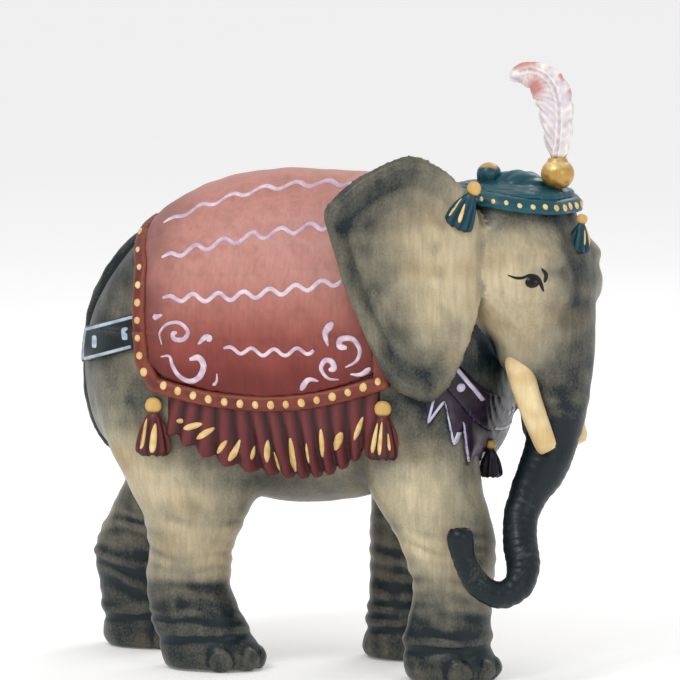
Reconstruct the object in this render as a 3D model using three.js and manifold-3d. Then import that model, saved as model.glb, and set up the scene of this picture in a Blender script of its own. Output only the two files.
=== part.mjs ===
// A carved and painted wooden elephant in parade dress, standing free on four flat soles.
// Millimetres, +Z up, +X towards the head, -Y the animal's right side.
import * as THREE from 'three';
import Module from 'manifold-3d';
import { LoftGeometry } from 'three/addons/geometries/LoftGeometry.js';
import { mergeVertices } from 'three/addons/utils/BufferGeometryUtils.js';

const wasm = await Module();
wasm.setup();

// ---- driving dimensions ----
const GAP = 0.3;                 // clearance between pieces that touch
const JOINT_HEIGHT = 60;         // level of the glued joints between legs and torso
const NECK_FOOT = new THREE.Vector3(62, 0, 98);
const NECK_TOP = new THREE.Vector3(38, 0, 162);
const HEAD_PIVOT_X = 42;
const HEAD_YAW = THREE.MathUtils.degToRad(-11);
const TRUNK_JOINT_HEIGHT = 84;
const CLOTH = 2.4;               // thickness of the blanket over the body
const BORDER_RISE = 1.0;         // how far the border stands above the cloth
const HARNESS = 1.7;             // thickness of the rump strap and the breast collar
const CAP = 1.5;                 // thickness of the head cap
const DOWEL = { leg: 4, neck: 6, trunk: 3, ear: 1.6, plume: 0.9 };
const REACH = 300;               // longer than the whole figure, for cutting blocks

const RIGHT = -1;
const LEFT = 1;

// ---- paint and wood colours ----
const COLOUR = {
  hide: 0xb8a98a,
  ivory: 0xd9b071,
  cloth: 0x9c5f58,
  border: 0x7a3a30,
  fringe: 0x6b2e2a,
  tassel: 0x7a3230,
  strap: 0x14201f,
  collar: 0x241a2c,
  cap: 0x0f4a55,
  gold: 0xb98a3e,
  plume: 0xe6dcd8,
  beech: 0xc9a877,
};

// ---- solids ----
// The same surface with shared corners and without the triangles that have no area.
function welded(geometry) {
  const plain = new THREE.BufferGeometry().copy(geometry);
  plain.deleteAttribute('normal');
  plain.deleteAttribute('uv');
  const merged = mergeVertices(plain, 1e-4);
  const corners = Array.from(merged.index.array);
  const kept = [];
  for (let i = 0; i < corners.length; i += 3) {
    const [a, b, c] = corners.slice(i, i + 3);
    if (a !== b && b !== c && c !== a) kept.push(a, b, c);
  }
  merged.setIndex(kept);
  merged.computeVertexNormals();
  return merged;
}

// A geometry as a solid, swollen along its normals by `grow`.
function solid(geometry, grow = 0) {
  const shape = welded(geometry);
  const spots = shape.attributes.position;
  const normals = shape.attributes.normal;
  const vertices = new Float32Array(spots.count * 3);
  for (let i = 0; i < spots.count; i += 1) {
    vertices[3 * i] = spots.getX(i) + grow * normals.getX(i);
    vertices[3 * i + 1] = spots.getY(i) + grow * normals.getY(i);
    vertices[3 * i + 2] = spots.getZ(i) + grow * normals.getZ(i);
  }
  const triangles = new Uint32Array(shape.index.array);
  const mesh = new wasm.Mesh({ numProp: 3, vertProperties: vertices, triVerts: triangles });
  return new wasm.Manifold(mesh);
}

function union(solids) {
  return solids.reduce((whole, next) => whole.add(next));
}

function cut(whole, tools) {
  return tools.reduce((rest, tool) => rest.subtract(tool), whole);
}

const figure = new THREE.Group();
figure.name = 'carved_elephant';

function geometryOf(body) {
  const result = body.getMesh();
  const geometry = new THREE.BufferGeometry();
  geometry.setAttribute('position', new THREE.BufferAttribute(result.vertProperties, 3));
  geometry.setIndex(new THREE.BufferAttribute(result.triVerts, 1));
  return geometry;
}

function place(name, body, colour, roughness = 0.5, metalness = 0) {
  const material = new THREE.MeshStandardMaterial({ color: colour, roughness, metalness });
  const mesh = new THREE.Mesh(geometryOf(body), material);
  mesh.name = name;
  figure.add(mesh);
}

// ---- lofts ----
// Given rows of numbers, a smooth run of rows with `steps` spaces between each pair.
function smooth(rows, steps) {
  const width = rows[0].length;
  const spots = rows.map((row, i) => i);
  const curve = new THREE.CubicInterpolant(spots, rows.flat(), width, new Array(width));
  const count = (rows.length - 1) * steps;
  return Array.from({ length: count + 1 }, (_, i) => Array.from(curve.evaluate(i / steps)));
}

// A rounded ring about `centre` with half sizes a along u and b along v; u x v points along the loft.
function ring(centre, u, v, a, b, sides, squareness = 2) {
  const soften = (value) => Math.sign(value) * Math.abs(value) ** (2 / squareness);
  return Array.from({ length: sides }, (_, i) => {
    const angle = (2 * Math.PI * i) / sides;
    return centre.clone()
      .addScaledVector(u, a * soften(Math.cos(angle)))
      .addScaledVector(v, b * soften(Math.sin(angle)));
  });
}

function loft(sections, capped = true) {
  return new THREE.BufferGeometry().copy(new LoftGeometry(sections, { capStart: capped, capEnd: capped }));
}

const AXIS_X = new THREE.Vector3(1, 0, 0);
const AXIS_Y = new THREE.Vector3(0, 1, 0);
const AXIS_Z = new THREE.Vector3(0, 0, 1);

// A limb that stands on its first row: rows are height, rear, front, inner side, outer side.
function limb(rows, side, sides = 14) {
  return loft(rows.map(([height, rear, front, inner, outer]) => {
    const centre = new THREE.Vector3((rear + front) / 2, side * (inner + outer) / 2, height);
    return ring(centre, AXIS_X, AXIS_Y, (front - rear) / 2, (outer - inner) / 2, sides, 2.2);
  }));
}

// A round body along a path: points are x, y, z and the half sizes of the section there.
function taper(points, sides, steps, flat = 1) {
  const path = new THREE.CatmullRomCurve3(points.map(([x, y, z]) => new THREE.Vector3(x, y, z)));
  const sizes = smooth(points.map((point) => [point[3]]), steps).map(([size]) => size);
  const count = sizes.length - 1;
  const frames = path.computeFrenetFrames(count);
  return loft(sizes.map((size, i) => {
    const t = i / count;
    const tangent = path.getTangent(t);
    const v = tangent.clone().cross(frames.normals[i]).normalize();
    const u = v.clone().cross(tangent).normalize();
    return ring(path.getPoint(t), u, v, size, size * flat, sides);
  }));
}

// A flat outline in the X-Z plane as a block from y = from to y = to.
function prism(outline, from, to) {
  const depth = to - from;
  const geometry = new THREE.ExtrudeGeometry(outline, { depth, bevelEnabled: false, curveSegments: 6 });
  geometry.rotateX(Math.PI / 2);
  geometry.translate(0, to, 0);
  return solid(geometry);
}

function polygon(corners) {
  return new THREE.Shape(corners.map(([x, z]) => new THREE.Vector2(x, z)));
}

function block(from, to) {
  const size = to.clone().sub(from);
  const geometry = new THREE.BoxGeometry(size.x, size.y, size.z);
  const centre = from.clone().add(to).multiplyScalar(0.5);
  geometry.translate(centre.x, centre.y, centre.z);
  return solid(geometry);
}

const slice = (from, to) => block(
  new THREE.Vector3(-REACH, -REACH, from),
  new THREE.Vector3(REACH, REACH, to),
);
const below = (level) => slice(-REACH, level);
const above = (level) => slice(level, REACH);
const sideBlock = (side) => block(
  new THREE.Vector3(-REACH, side < 0 ? -REACH : GAP, -REACH),
  new THREE.Vector3(REACH, side < 0 ? -GAP : REACH, REACH),
);

// ---- torso and legs ----
// Rows: x, top, bottom, half width.
const TORSO_ROWS = [
  [-85.6, 102, 92, 5],
  [-84, 112.5, 81.5, 13],
  [-80, 122, 72.5, 19.5],
  [-73, 132.5, 66, 25],
  [-62.5, 143, 61.5, 29.5],
  [-49, 152.6, 58.6, 33],
  [-32, 158.4, 55.6, 34.5],
  [-14, 160, 53.2, 35],
  [4, 159.8, 54.6, 34.5],
  [20, 158, 59, 31.8],
  [34, 155, 63.5, 28],
  [45, 150, 67.6, 24.5],
  [52, 141, 73.2, 20.5],
  [56.2, 127, 83, 14],
  [57.8, 112, 97, 4],
];
const torsoShape = loft(TORSO_ROWS.map(([x, top, bottom, half]) => ring(
  new THREE.Vector3(x, 0, (top + bottom) / 2), AXIS_Y, AXIS_Z, half, (top - bottom) / 2, 28, 2.2,
)));

// Rows: height, rear, front, inner side, outer side.
const LEG_ROWS = {
  leg_hind_right: [
    [0, -52.5, -21, 9, 33], [4, -54, -19.8, 8.3, 34], [10, -55.4, -23, 9, 33.3],
    [20, -58, -28.6, 9.5, 32.6], [29, -59.3, -31.4, 9.5, 32.3],
    [38, -58, -31, 9.2, 32.6], [48, -60, -26.8, 8.5, 33.4],
    [60, -66, -21.5, 7, 34.6], [76, -73.5, -18, 5.5, 35.2], [94, -76, -22, 6, 34], [108, -70, -32, 11, 30],
  ],
  leg_front_right: [
    [0, 31, 58, 9, 33], [4, 29.3, 60.3, 8.2, 34], [10, 28.8, 58, 8.6, 33.3],
    [20, 30.5, 57.6, 9, 32.8], [30, 32.4, 58.2, 9, 33], [44, 28, 59, 8.8, 33.8],
    [54, 21.5, 57.2, 8, 34.5], [62, 17, 55, 7.2, 34.8], [76, 15, 52.6, 6.8, 33.8],
    [94, 18, 48.6, 8, 30.6], [108, 25, 44, 13, 26],
  ],
  leg_front_left: [
    [0, 3.5, 29, 8.5, 32.5], [4, 1.8, 31, 7.8, 33.5], [10, 3, 29.2, 8.3, 32.8],
    [24, 4.6, 28.8, 9, 32], [42, 4.4, 31, 8.6, 33], [54, 4.8, 35.5, 8, 34],
    [64, 6.6, 43, 7.2, 34.6], [80, 10, 46, 7.5, 33.8],
    [98, 18, 44, 11, 30],
  ],
  leg_hind_left: [
    [0, -87, -60.5, 8.5, 32.5], [4, -89, -58.6, 7.8, 33.5], [10, -89, -60.6, 8.3, 32.8],
    [20, -90, -62, 9, 32], [31, -91.8, -62.6, 9, 32], [38, -90.2, -60, 8.8, 32.4],
    [47, -85.6, -54, 8.2, 33.2], [60, -79.5, -45, 7, 34],
    [76, -77, -37, 6, 34.4], [94, -74, -38, 8, 32],
  ],
};
const legSide = (name) => (name.endsWith('right') ? RIGHT : LEFT);
const legShapes = Object.fromEntries(
  Object.entries(LEG_ROWS).map(([name, rows]) => [name, limb(rows, legSide(name))]),
);

function body(grow) {
  const shoulders = Object.values(legShapes)
    .map((shape) => solid(shape, grow).intersect(above(JOINT_HEIGHT)));
  return union([solid(torsoShape, grow), ...shoulders]);
}

// ---- head, in its own frame: x forward from the neck pivot, turned to the right with the head ----
const headFrame = new THREE.Matrix4()
  .makeRotationZ(HEAD_YAW)
  .setPosition(HEAD_PIVOT_X, 0, 0);
const turned = (geometry) => geometry.clone().applyMatrix4(headFrame);

// Rows: height, centre, half length, half width.
const HEAD_ROWS = [
  [80, 32.4, 9.2, 9],
  [86, 32.9, 10.2, 9.8],
  [93, 32.7, 12, 11],
  [100, 31.8, 14, 12.3],
  [107, 29.6, 17, 14.5],
  [114, 25.8, 20.6, 17.5],
  [122, 21.4, 24.6, 21],
  [129, 18.8, 27.3, 24],
  [136, 17.6, 26.8, 25.2],
  [143, 16.6, 25.2, 25],
  [150, 15.6, 22.6, 22.8],
  [157, 15.8, 19.6, 18.4],
  [161, 15.5, 11.5, 10.5],
];
const skullShape = turned(loft(HEAD_ROWS.map(([height, centre, along, across]) => ring(
  new THREE.Vector3(centre, 0, height), AXIS_X, AXIS_Y, along, across, 22, 2.1,
))));

// The bony brow and cheek on each side, with the eye in its hollow.
const BROW = { forward: 34.5, apart: 16.4, height: 130, length: 9.5, width: 6, rise: 9 };
function browShape(side) {
  const brow = new THREE.SphereGeometry(1, 10, 7);
  brow.scale(BROW.length, BROW.width, BROW.rise);
  brow.rotateZ(side * -0.45);
  brow.translate(BROW.forward, side * BROW.apart, BROW.height);
  return turned(brow);
}

// The pouch at each side of the mouth, from which the tusk grows.
const POUCH = { forward: 27.5, apart: 11.5, height: 106, length: 8.5, width: 6, rise: 8 };
function pouchShape(side) {
  const pouch = new THREE.SphereGeometry(1, 10, 7);
  pouch.scale(POUCH.length, POUCH.width, POUCH.rise);
  pouch.translate(POUCH.forward, side * POUCH.apart, POUCH.height);
  return turned(pouch);
}

function head(grow) {
  const bumps = [RIGHT, LEFT].flatMap((side) => [browShape(side), pouchShape(side)]);
  return union([skullShape, ...bumps].map((shape) => solid(shape, grow)));
}

// Everything ahead of the slanting neck joint, moved forward by `clearance`.
function aheadOfNeck(clearance) {
  const slope = NECK_FOOT.clone().sub(NECK_TOP);
  const size = REACH * 2;
  const slab = new THREE.BoxGeometry(size, size, size);
  slab.translate(size / 2 + clearance, 0, 0);
  slab.rotateY(-Math.atan2(slope.x, -slope.z));
  const middle = NECK_FOOT.clone().add(NECK_TOP).multiplyScalar(0.5);
  slab.translate(middle.x, middle.y, middle.z);
  return solid(slab);
}

// Tusk path in the head frame: x, distance from the middle, height, radius.
const TUSK_POINTS = [
  [23.5, 11.2, 113, 3.4],
  [26, 12.6, 107, 4.4],
  [28.6, 13.6, 99, 4.4],
  [32, 13.9, 90, 4.1],
  [35, 13.5, 82.5, 3.8],
  [37.2, 13, 77, 3.4],
  [38, 12.8, 75, 1.6],
];
const LEFT_TUSK_SET_BACK = 2;
function tuskShape(side) {
  const setBack = side === LEFT ? LEFT_TUSK_SET_BACK : 0;
  const path = TUSK_POINTS.map(([x, apart, height, radius]) => [x - setBack, side * apart, height, radius]);
  return turned(taper(path, 10, 1));
}

// Trunk path in the figure's frame: x, y, z, radius.
const TRUNK_POINTS = [
  [74.3, -6.3, 90, 11],
  [74.6, -7.2, 83, 9.3],
  [74.2, -8.8, 75.5, 8.3],
  [71.6, -11.5, 67.2, 7.7],
  [68.6, -14.6, 60.4, 6.8],
  [67.2, -18.5, 53.4, 5.9],
  [68.4, -23, 45.6, 5.5],
  [70.9, -28, 38.8, 5.2],
  [70.4, -33, 33.2, 4.8],
  [65.2, -37, 30.6, 4.4],
  [58.6, -38.6, 34.4, 4.1],
  [54.6, -38.8, 41.6, 3.9],
  [53, -38.8, 48.4, 4.6],
];
const trunkShape = taper(TRUNK_POINTS, 12, 2);

// The open end of the trunk, a shallow cup.
const nostrilShape = taper([[54, -39, 44, 0.8], [53.4, -38.9, 47, 2.2], [52.6, -38.8, 51, 3.4]], 10, 1);

// ---- ears ----
// Outline of an ear: distance back from its root, height; run from the top of the root round the back.
const EAR_OUTLINE = [
  [0, 157], [10, 166.5], [21, 170], [34, 165], [44, 157], [47.4, 151.5], [45.4, 143], [40, 126],
  [32.6, 109], [27.2, 98.6], [20, 93], [12.6, 91.6], [6.4, 98.5], [1.2, 111], [-1.4, 124], [-1, 141],
];
const EAR_MIDDLE = [19, 133];
// Rings from the middle of the inner face, round the rim, to the middle of the outer face:
// share of the outline's size, and offset outwards from the ear's mid surface.
const EAR_PROFILE = [
  [0, -1.6], [0.55, -1.4], [0.93, -1.9], [1, 0], [0.97, 2.1], [0.9, 2.4], [0.76, 0.6], [0.4, 0.1],
  [0, 0.2],
];
const EAR_CURL = 2.6;            // how far the middle of the ear is dished inwards
const EARS = {
  ear_right: { side: RIGHT, x: 53.5, y: 27.5, swing: 20, drop: 0 },
  ear_left: { side: LEFT, x: 61.5, y: 21.5, swing: 28, drop: 10 },
};

function earShape({ side, x, y, swing, drop }) {
  const closed = EAR_OUTLINE.concat([EAR_OUTLINE[0]]);
  const corners = closed.map(([back, height]) => new THREE.Vector2(back, height));
  const edge = new THREE.SplineCurve(corners).getSpacedPoints(22).slice(0, -1);
  const sections = EAR_PROFILE.map(([share, offset]) => edge.map((point) => {
    const back = EAR_MIDDLE[0] + share * (point.x - EAR_MIDDLE[0]);
    const height = EAR_MIDDLE[1] + share * (point.y - EAR_MIDDLE[1]);
    const dish = EAR_CURL * (share * share - 1);
    return new THREE.Vector3(-back, side * (offset + dish), height - drop);
  }));
  const ordered = side === RIGHT ? sections : sections.map((section) => section.slice().reverse());
  const geometry = loft(ordered, false);
  geometry.rotateZ(THREE.MathUtils.degToRad(-side * swing));
  geometry.translate(x, side * y, 0);
  return geometry;
}

// The thick root that carries the ear on the side of the head.
const EAR_ROOT = { back: 2.4, height: 137, length: 6.4, width: 3, rise: 16, inwards: 1.4 };
function earRootShape({ side, x, y, swing, drop }) {
  const root = new THREE.SphereGeometry(1, 8, 6);
  root.scale(EAR_ROOT.length, EAR_ROOT.width, EAR_ROOT.rise);
  root.translate(-EAR_ROOT.back, -side * EAR_ROOT.inwards, EAR_ROOT.height - drop);
  root.rotateZ(THREE.MathUtils.degToRad(-side * swing));
  root.translate(x, side * y, 0);
  return root;
}

function ear(name, grow) {
  return solid(earShape(EARS[name]), grow).add(solid(earRootShape(EARS[name]), grow));
}

// ---- tail ----
const TAIL_POINTS = [
  [-66.5, 0, 140.5, 1.8], [-71.5, 0, 136.2, 2.3], [-79, 0, 127.4, 2.3], [-84.6, 0, 116, 2.2],
  [-87.2, 0, 104, 2.2], [-87.6, 0, 93, 2.2], [-85.4, 0, 82.5, 2.5],
  [-81, 0, 74, 2.8], [-78.4, 0, 69.6, 1.6],
];
const tailShape = taper(TAIL_POINTS, 10, 1);

// ---- blanket ----
const grownBody = new Map();
function bodyAt(grow) {
  if (!grownBody.has(grow)) grownBody.set(grow, body(grow));
  return grownBody.get(grow);
}

// A skin over the body, `thick` deep, standing the clearance off the wood below.
function skin(thick) {
  return bodyAt(thick).subtract(bodyAt(GAP));
}

const BORDER_WIDTH = 5;
const REAR_EDGE = [[-67.5, 170], [-66.2, 142], [-61.9, 132], [-60.6, 114], [-58.4, 101]];
const FRONT_EDGE = [[26.8, 112], [25.5, 170]];
const HEM_START = new THREE.Vector2(-53, 92.4);
const HEM_SAG = new THREE.Vector2(-12, 79.5);
const HEM_END = new THREE.Vector2(27.5, 95.6);

// The blanket seen from the side, drawn in from its edge by `inset`.
function blanketOutline(inset) {
  const outline = new THREE.Shape();
  const rear = REAR_EDGE.map(([x, z]) => new THREE.Vector2(x + inset, z));
  const front = FRONT_EDGE.map(([x, z]) => new THREE.Vector2(x - inset, z));
  outline.moveTo(rear[0].x, rear[0].y);
  rear.slice(1).forEach((point) => outline.lineTo(point.x, point.y));
  outline.lineTo(HEM_START.x + inset, HEM_START.y + inset);
  outline.quadraticCurveTo(HEM_SAG.x, HEM_SAG.y + inset, HEM_END.x - inset, HEM_END.y + inset);
  front.forEach((point) => outline.lineTo(point.x, point.y));
  outline.closePath();
  return outline;
}

const WIDE = 80;
const clothBlock = (inset) => prism(blanketOutline(inset), -WIDE, WIDE);

// The gathered fringe: its top follows the hem, its lower edge hangs in scallops.
const FRINGE = { start: -46, end: 22.5, lowest: 64.5, middle: -5, rise: 14, scallops: 9, depth: 2.4 };
function fringeOutline() {
  const hem = new THREE.QuadraticBezierCurve(HEM_START, HEM_SAG, HEM_END).getPoints(16);
  const outline = new THREE.Shape();
  const top = hem.filter((point) => point.x > FRINGE.start && point.x < FRINGE.end);
  outline.moveTo(top[0].x, top[0].y - GAP);
  top.slice(1).forEach((point) => outline.lineTo(point.x, point.y - GAP));
  const lower = (x) => {
    const reach = x > FRINGE.middle ? FRINGE.end - FRINGE.middle : FRINGE.middle - FRINGE.start;
    return FRINGE.lowest + FRINGE.rise * ((x - FRINGE.middle) / reach) ** 2;
  };
  const count = FRINGE.scallops * 4;
  for (let i = 0; i <= count; i += 1) {
    const share = i / count;
    const x = FRINGE.end + share * (FRINGE.start - FRINGE.end);
    const scallop = FRINGE.depth * Math.abs(Math.sin(Math.PI * FRINGE.scallops * share));
    outline.lineTo(x, lower(x) - scallop + FRINGE.depth);
  }
  outline.closePath();
  return outline;
}

// ---- harness ----
const STRAP = polygon([[-54, 118.5], [-96, 106.5], [-96, 95], [-54, 107]]);
const COLLAR = polygon([
  [36, 113], [46, 105.5], [55.5, 93.5], [66, 82], [66, 72], [55.2, 81], [50.5, 89.3], [43, 98.6], [33, 105],
]);
const PENDANTS = polygon([
  [33, 104.2], [42.6, 98], [50, 88.8], [54.6, 80.8], [66, 71.2],
  [66, 60], [55.2, 73], [54.8, 77.6], [53.2, 69.5], [50.8, 83.8], [49, 75.6], [45.4, 90.8],
  [40.6, 82.8], [38, 97.6], [33, 92],
]);

// ---- hanging tassels: a round knot over a flared skirt ----
// Rows: drop below the knot's middle, half size.
const TASSEL_ROWS = [
  [-2.6, 0.8], [-1.9, 2], [0, 2.8], [1.9, 2.1], [2.6, 1.7], [4, 2.6], [8, 4.2], [13, 5.4], [15.6, 5.2],
  [16.2, 4],
];
function tasselShape(scale, flat) {
  const across = AXIS_Y.clone().negate();
  return loft(TASSEL_ROWS.map(([drop, half]) => ring(
    new THREE.Vector3(0, 0, -drop * scale), AXIS_X, across, half * scale, half * scale * flat, 12,
  )));
}

const prober = new THREE.Raycaster();
function meshOf(body) {
  return new THREE.Mesh(geometryOf(body), new THREE.MeshBasicMaterial({ side: THREE.DoubleSide }));
}

// Where a straight line from outside first meets the mesh.
function touch(mesh, from, towards) {
  prober.set(from, towards.clone().normalize());
  return prober.intersectObject(mesh)[0].point;
}

const bodyMesh = meshOf(bodyAt(0));
const COLLAR_TASSEL = { x: 55, aside: -7, height: 74.5, scale: 0.66, flat: 0.9 };
// Each corner tassel rests on the body where its skirt hangs: `drop` below its knot, `lift` off the wood.
const CORNER = { drop: 6, lift: 1.2, scale: 1, flat: 0.6 };
const CORNER_TASSELS = {
  tassel_rear_right: { side: RIGHT, x: -51.8, height: 87.4 },
  tassel_rear_left: { side: LEFT, x: -51.8, height: 87.4 },
  tassel_front_right: { side: RIGHT, x: 25.2, height: 88.6 },
  tassel_front_left: { side: LEFT, x: 25.2, height: 88.6 },
};
function cornerTassel({ side, x, height }, grow = 0) {
  const inward = new THREE.Vector3(0, -side, 0);
  const spot = touch(bodyMesh, new THREE.Vector3(x, side * WIDE, height - CORNER.drop), inward);
  const shape = tasselShape(CORNER.scale, CORNER.flat);
  shape.translate(x, spot.y + side * CORNER.lift, height);
  return solid(shape, grow);
}

function collarTassel() {
  const shape = tasselShape(COLLAR_TASSEL.scale, COLLAR_TASSEL.flat);
  shape.translate(COLLAR_TASSEL.x, COLLAR_TASSEL.aside, COLLAR_TASSEL.height);
  return solid(shape);
}

// ---- head dress ----
const headMesh = meshOf(head(0));
const headPoint = (x, y, z) => new THREE.Vector3(x, y, z).applyMatrix4(headFrame);
const headDirection = (x, y, z) => new THREE.Vector3(x, y, z).transformDirection(headFrame);

const CAP_RIM = { front: 41, height: 150.5, slope: 0.16, width: 4.6, rise: 0.8 };
// Everything above the cap's rim, `lift` higher than its lower edge.
function aboveRim(lift) {
  const slab = new THREE.BoxGeometry(REACH, REACH, REACH);
  slab.translate(0, 0, REACH / 2);
  slab.rotateY(Math.atan(CAP_RIM.slope));
  slab.translate(CAP_RIM.front, 0, CAP_RIM.height + lift);
  return solid(turned(slab));
}

function headSkin(thick) {
  return head(thick).subtract(head(GAP)).subtract(bodyAt(GAP));
}

const BEAD = { forward: 34.3, height: 163.6, radius: 5.4, flat: 0.94 };
function beadShape() {
  const bead = new THREE.SphereGeometry(BEAD.radius, 16, 10);
  bead.scale(1, BEAD.flat, 1);
  bead.rotateX(Math.PI / 2);
  bead.translate(BEAD.forward, 0, BEAD.height);
  return turned(bead);
}

const KNOB = { forward: 11.5, aside: -4, height: 163, radius: 4 };
const CREST = { forward: 20, height: 158.6, length: 10, width: 8, rise: 5.4 };
function moundShape({ forward, aside = 0, height, length, width, rise, radius }) {
  const mound = new THREE.SphereGeometry(1, 12, 8);
  mound.scale(length ?? radius, width ?? radius, rise ?? radius);
  mound.translate(forward, aside, height);
  return turned(mound);
}

const FOREHEAD_TASSEL = { height: 149.4, drop: 4, lift: 0.6, scale: 0.66, flat: 0.8 };
const SIDE_TASSEL = { forward: 13.5, height: 157.2, drop: 8, lift: 0.8, scale: 0.86, flat: 0.62 };
function foreheadTassel(grow = 0) {
  const from = headPoint(WIDE, 0, FOREHEAD_TASSEL.height - FOREHEAD_TASSEL.drop);
  const spot = touch(headMesh, from, headDirection(-1, 0, 0));
  const shape = tasselShape(FOREHEAD_TASSEL.scale, FOREHEAD_TASSEL.flat);
  shape.translate(spot.x + FOREHEAD_TASSEL.lift, spot.y, FOREHEAD_TASSEL.height);
  return solid(shape, grow);
}

function sideTassel(side, grow = 0) {
  const from = headPoint(SIDE_TASSEL.forward, side * WIDE, SIDE_TASSEL.height - SIDE_TASSEL.drop);
  const spot = touch(headMesh, from, headDirection(0, -side, 0));
  const shape = tasselShape(SIDE_TASSEL.scale, SIDE_TASSEL.flat);
  shape.translate(spot.x, spot.y + side * SIDE_TASSEL.lift, SIDE_TASSEL.height);
  return solid(shape, grow);
}

// The ostrich plume, cut from a thin board: its stem stands on the bead and its tip curls back.
const PLUME = { thick: 3, bevel: 0.7, foot: 168.2 };
const PLUME_EDGE = [
  [1.4, 0], [3.6, 3], [4.6, 8], [5.4, 14], [5, 20], [3, 25.4], [-1.6, 29.8], [-8, 31.4], [-14, 30.8],
  [-17.4, 28.2],
  [-17.2, 25.2], [-13, 24], [-9.8, 21.4], [-7.4, 17], [-6, 12], [-4.6, 6], [-1.8, 0],
];
function plumeShape() {
  const edge = PLUME_EDGE.map(([x, z]) => new THREE.Vector2(x, z));
  const outline = new THREE.Shape();
  outline.moveTo(edge[0].x, edge[0].y);
  outline.splineThru(edge.slice(1));
  outline.closePath();
  const plume = new THREE.ExtrudeGeometry(outline, {
    depth: PLUME.thick - 2 * PLUME.bevel,
    bevelThickness: PLUME.bevel,
    bevelSize: PLUME.bevel,
    bevelSegments: 1,
    curveSegments: 3,
  });
  plume.translate(0, 0, PLUME.bevel - PLUME.thick / 2);
  plume.rotateX(Math.PI / 2);
  plume.translate(BEAD.forward, 0, PLUME.foot);
  return turned(plume);
}

// ---- hidden dowels ----
// A peg of the given radius and half length about a point, along a direction.
function peg(centre, direction, radius, half, grow = 0) {
  const geometry = new THREE.CylinderGeometry(radius + grow, radius + grow, 2 * (half + grow), 12);
  const turn = new THREE.Quaternion().setFromUnitVectors(AXIS_Y, direction.clone().normalize());
  geometry.applyQuaternion(turn);
  geometry.translate(centre.x, centre.y, centre.z);
  return solid(geometry);
}

const neckNormal = new THREE.Vector3(NECK_TOP.z - NECK_FOOT.z, 0, NECK_FOOT.x - NECK_TOP.x);
const legCentre = (name) => {
  const row = LEG_ROWS[name].find(([height]) => height >= JOINT_HEIGHT);
  return new THREE.Vector3((row[1] + row[2]) / 2, legSide(name) * (row[3] + row[4]) / 2, JOINT_HEIGHT);
};
const EAR_DOWEL_INSET = 3.2;
const earCentre = ({ side, x, y, drop }) => new THREE.Vector3(
  x, side * (y - EAR_DOWEL_INSET), EAR_ROOT.height - drop,
);
// Half the length of each kind of dowel.
const HALF = { neck: 13, trunk: 8, ear: 4.5, plume: 9.5, leg: 12 };
const PEGS = {
  dowel_neck: [NECK_TOP.clone().add(NECK_FOOT).multiplyScalar(0.5), neckNormal, DOWEL.neck, HALF.neck],
  dowel_trunk: [new THREE.Vector3(74.4, -7, TRUNK_JOINT_HEIGHT), AXIS_Z, DOWEL.trunk, HALF.trunk],
  dowel_ear_right: [earCentre(EARS.ear_right), AXIS_Y, DOWEL.ear, HALF.ear],
  dowel_ear_left: [earCentre(EARS.ear_left), AXIS_Y, DOWEL.ear, HALF.ear],
  pin_plume: [headPoint(BEAD.forward, 0, 163), AXIS_Z, DOWEL.plume, HALF.plume],
};
for (const name of Object.keys(LEG_ROWS)) {
  PEGS[name.replace('leg', 'dowel_leg')] = [legCentre(name), AXIS_Z, DOWEL.leg, HALF.leg];
}
const pegAt = (name, grow = 0) => peg(...PEGS[name], grow);

// ---- assembly ----
const tusks = { tusk_right: tuskShape(RIGHT), tusk_left: tuskShape(LEFT) };
const tuskSockets = Object.values(tusks).map((shape) => solid(shape, GAP));
const allSockets = Object.keys(PEGS).map((name) => pegAt(name, GAP));
const ears = Object.keys(EARS);
const earClearance = ears.map((name) => ear(name, GAP));
const tassels = Object.keys(CORNER_TASSELS);
const tasselClearance = tassels.map((name) => cornerTassel(CORNER_TASSELS[name], GAP));

place('torso', cut(bodyAt(0), [aheadOfNeck(0), ...allSockets]), COLOUR.hide);
const headWood = union([head(0), solid(trunkShape), bodyAt(0).subtract(below(NECK_FOOT.z))]);
const headBlock = aheadOfNeck(GAP).subtract(below(TRUNK_JOINT_HEIGHT));
const skull = cut(headWood.intersect(headBlock), [...tuskSockets, ...allSockets]);
place('head', skull, COLOUR.hide);
for (const [name, shape] of Object.entries(legShapes)) {
  const leg = solid(shape).intersect(below(JOINT_HEIGHT - GAP));
  place(name, cut(leg, [solid(torsoShape, GAP), ...allSockets]), COLOUR.hide);
}
const trunkWood = solid(trunkShape).intersect(below(TRUNK_JOINT_HEIGHT - GAP));
place('trunk', cut(trunkWood, [solid(nostrilShape), ...tuskSockets, ...allSockets]), COLOUR.hide);
for (const [name, shape] of Object.entries(tusks)) {
  place(name, solid(shape), COLOUR.ivory, 0.35);
}
for (const name of ears) {
  place(name, cut(ear(name, 0), [head(GAP), bodyAt(CLOTH + 2 * GAP), ...allSockets]), COLOUR.hide);
}
place('tail', solid(tailShape).subtract(bodyAt(GAP)).subtract(bodyAt(HARNESS + GAP)), COLOUR.hide);

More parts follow.
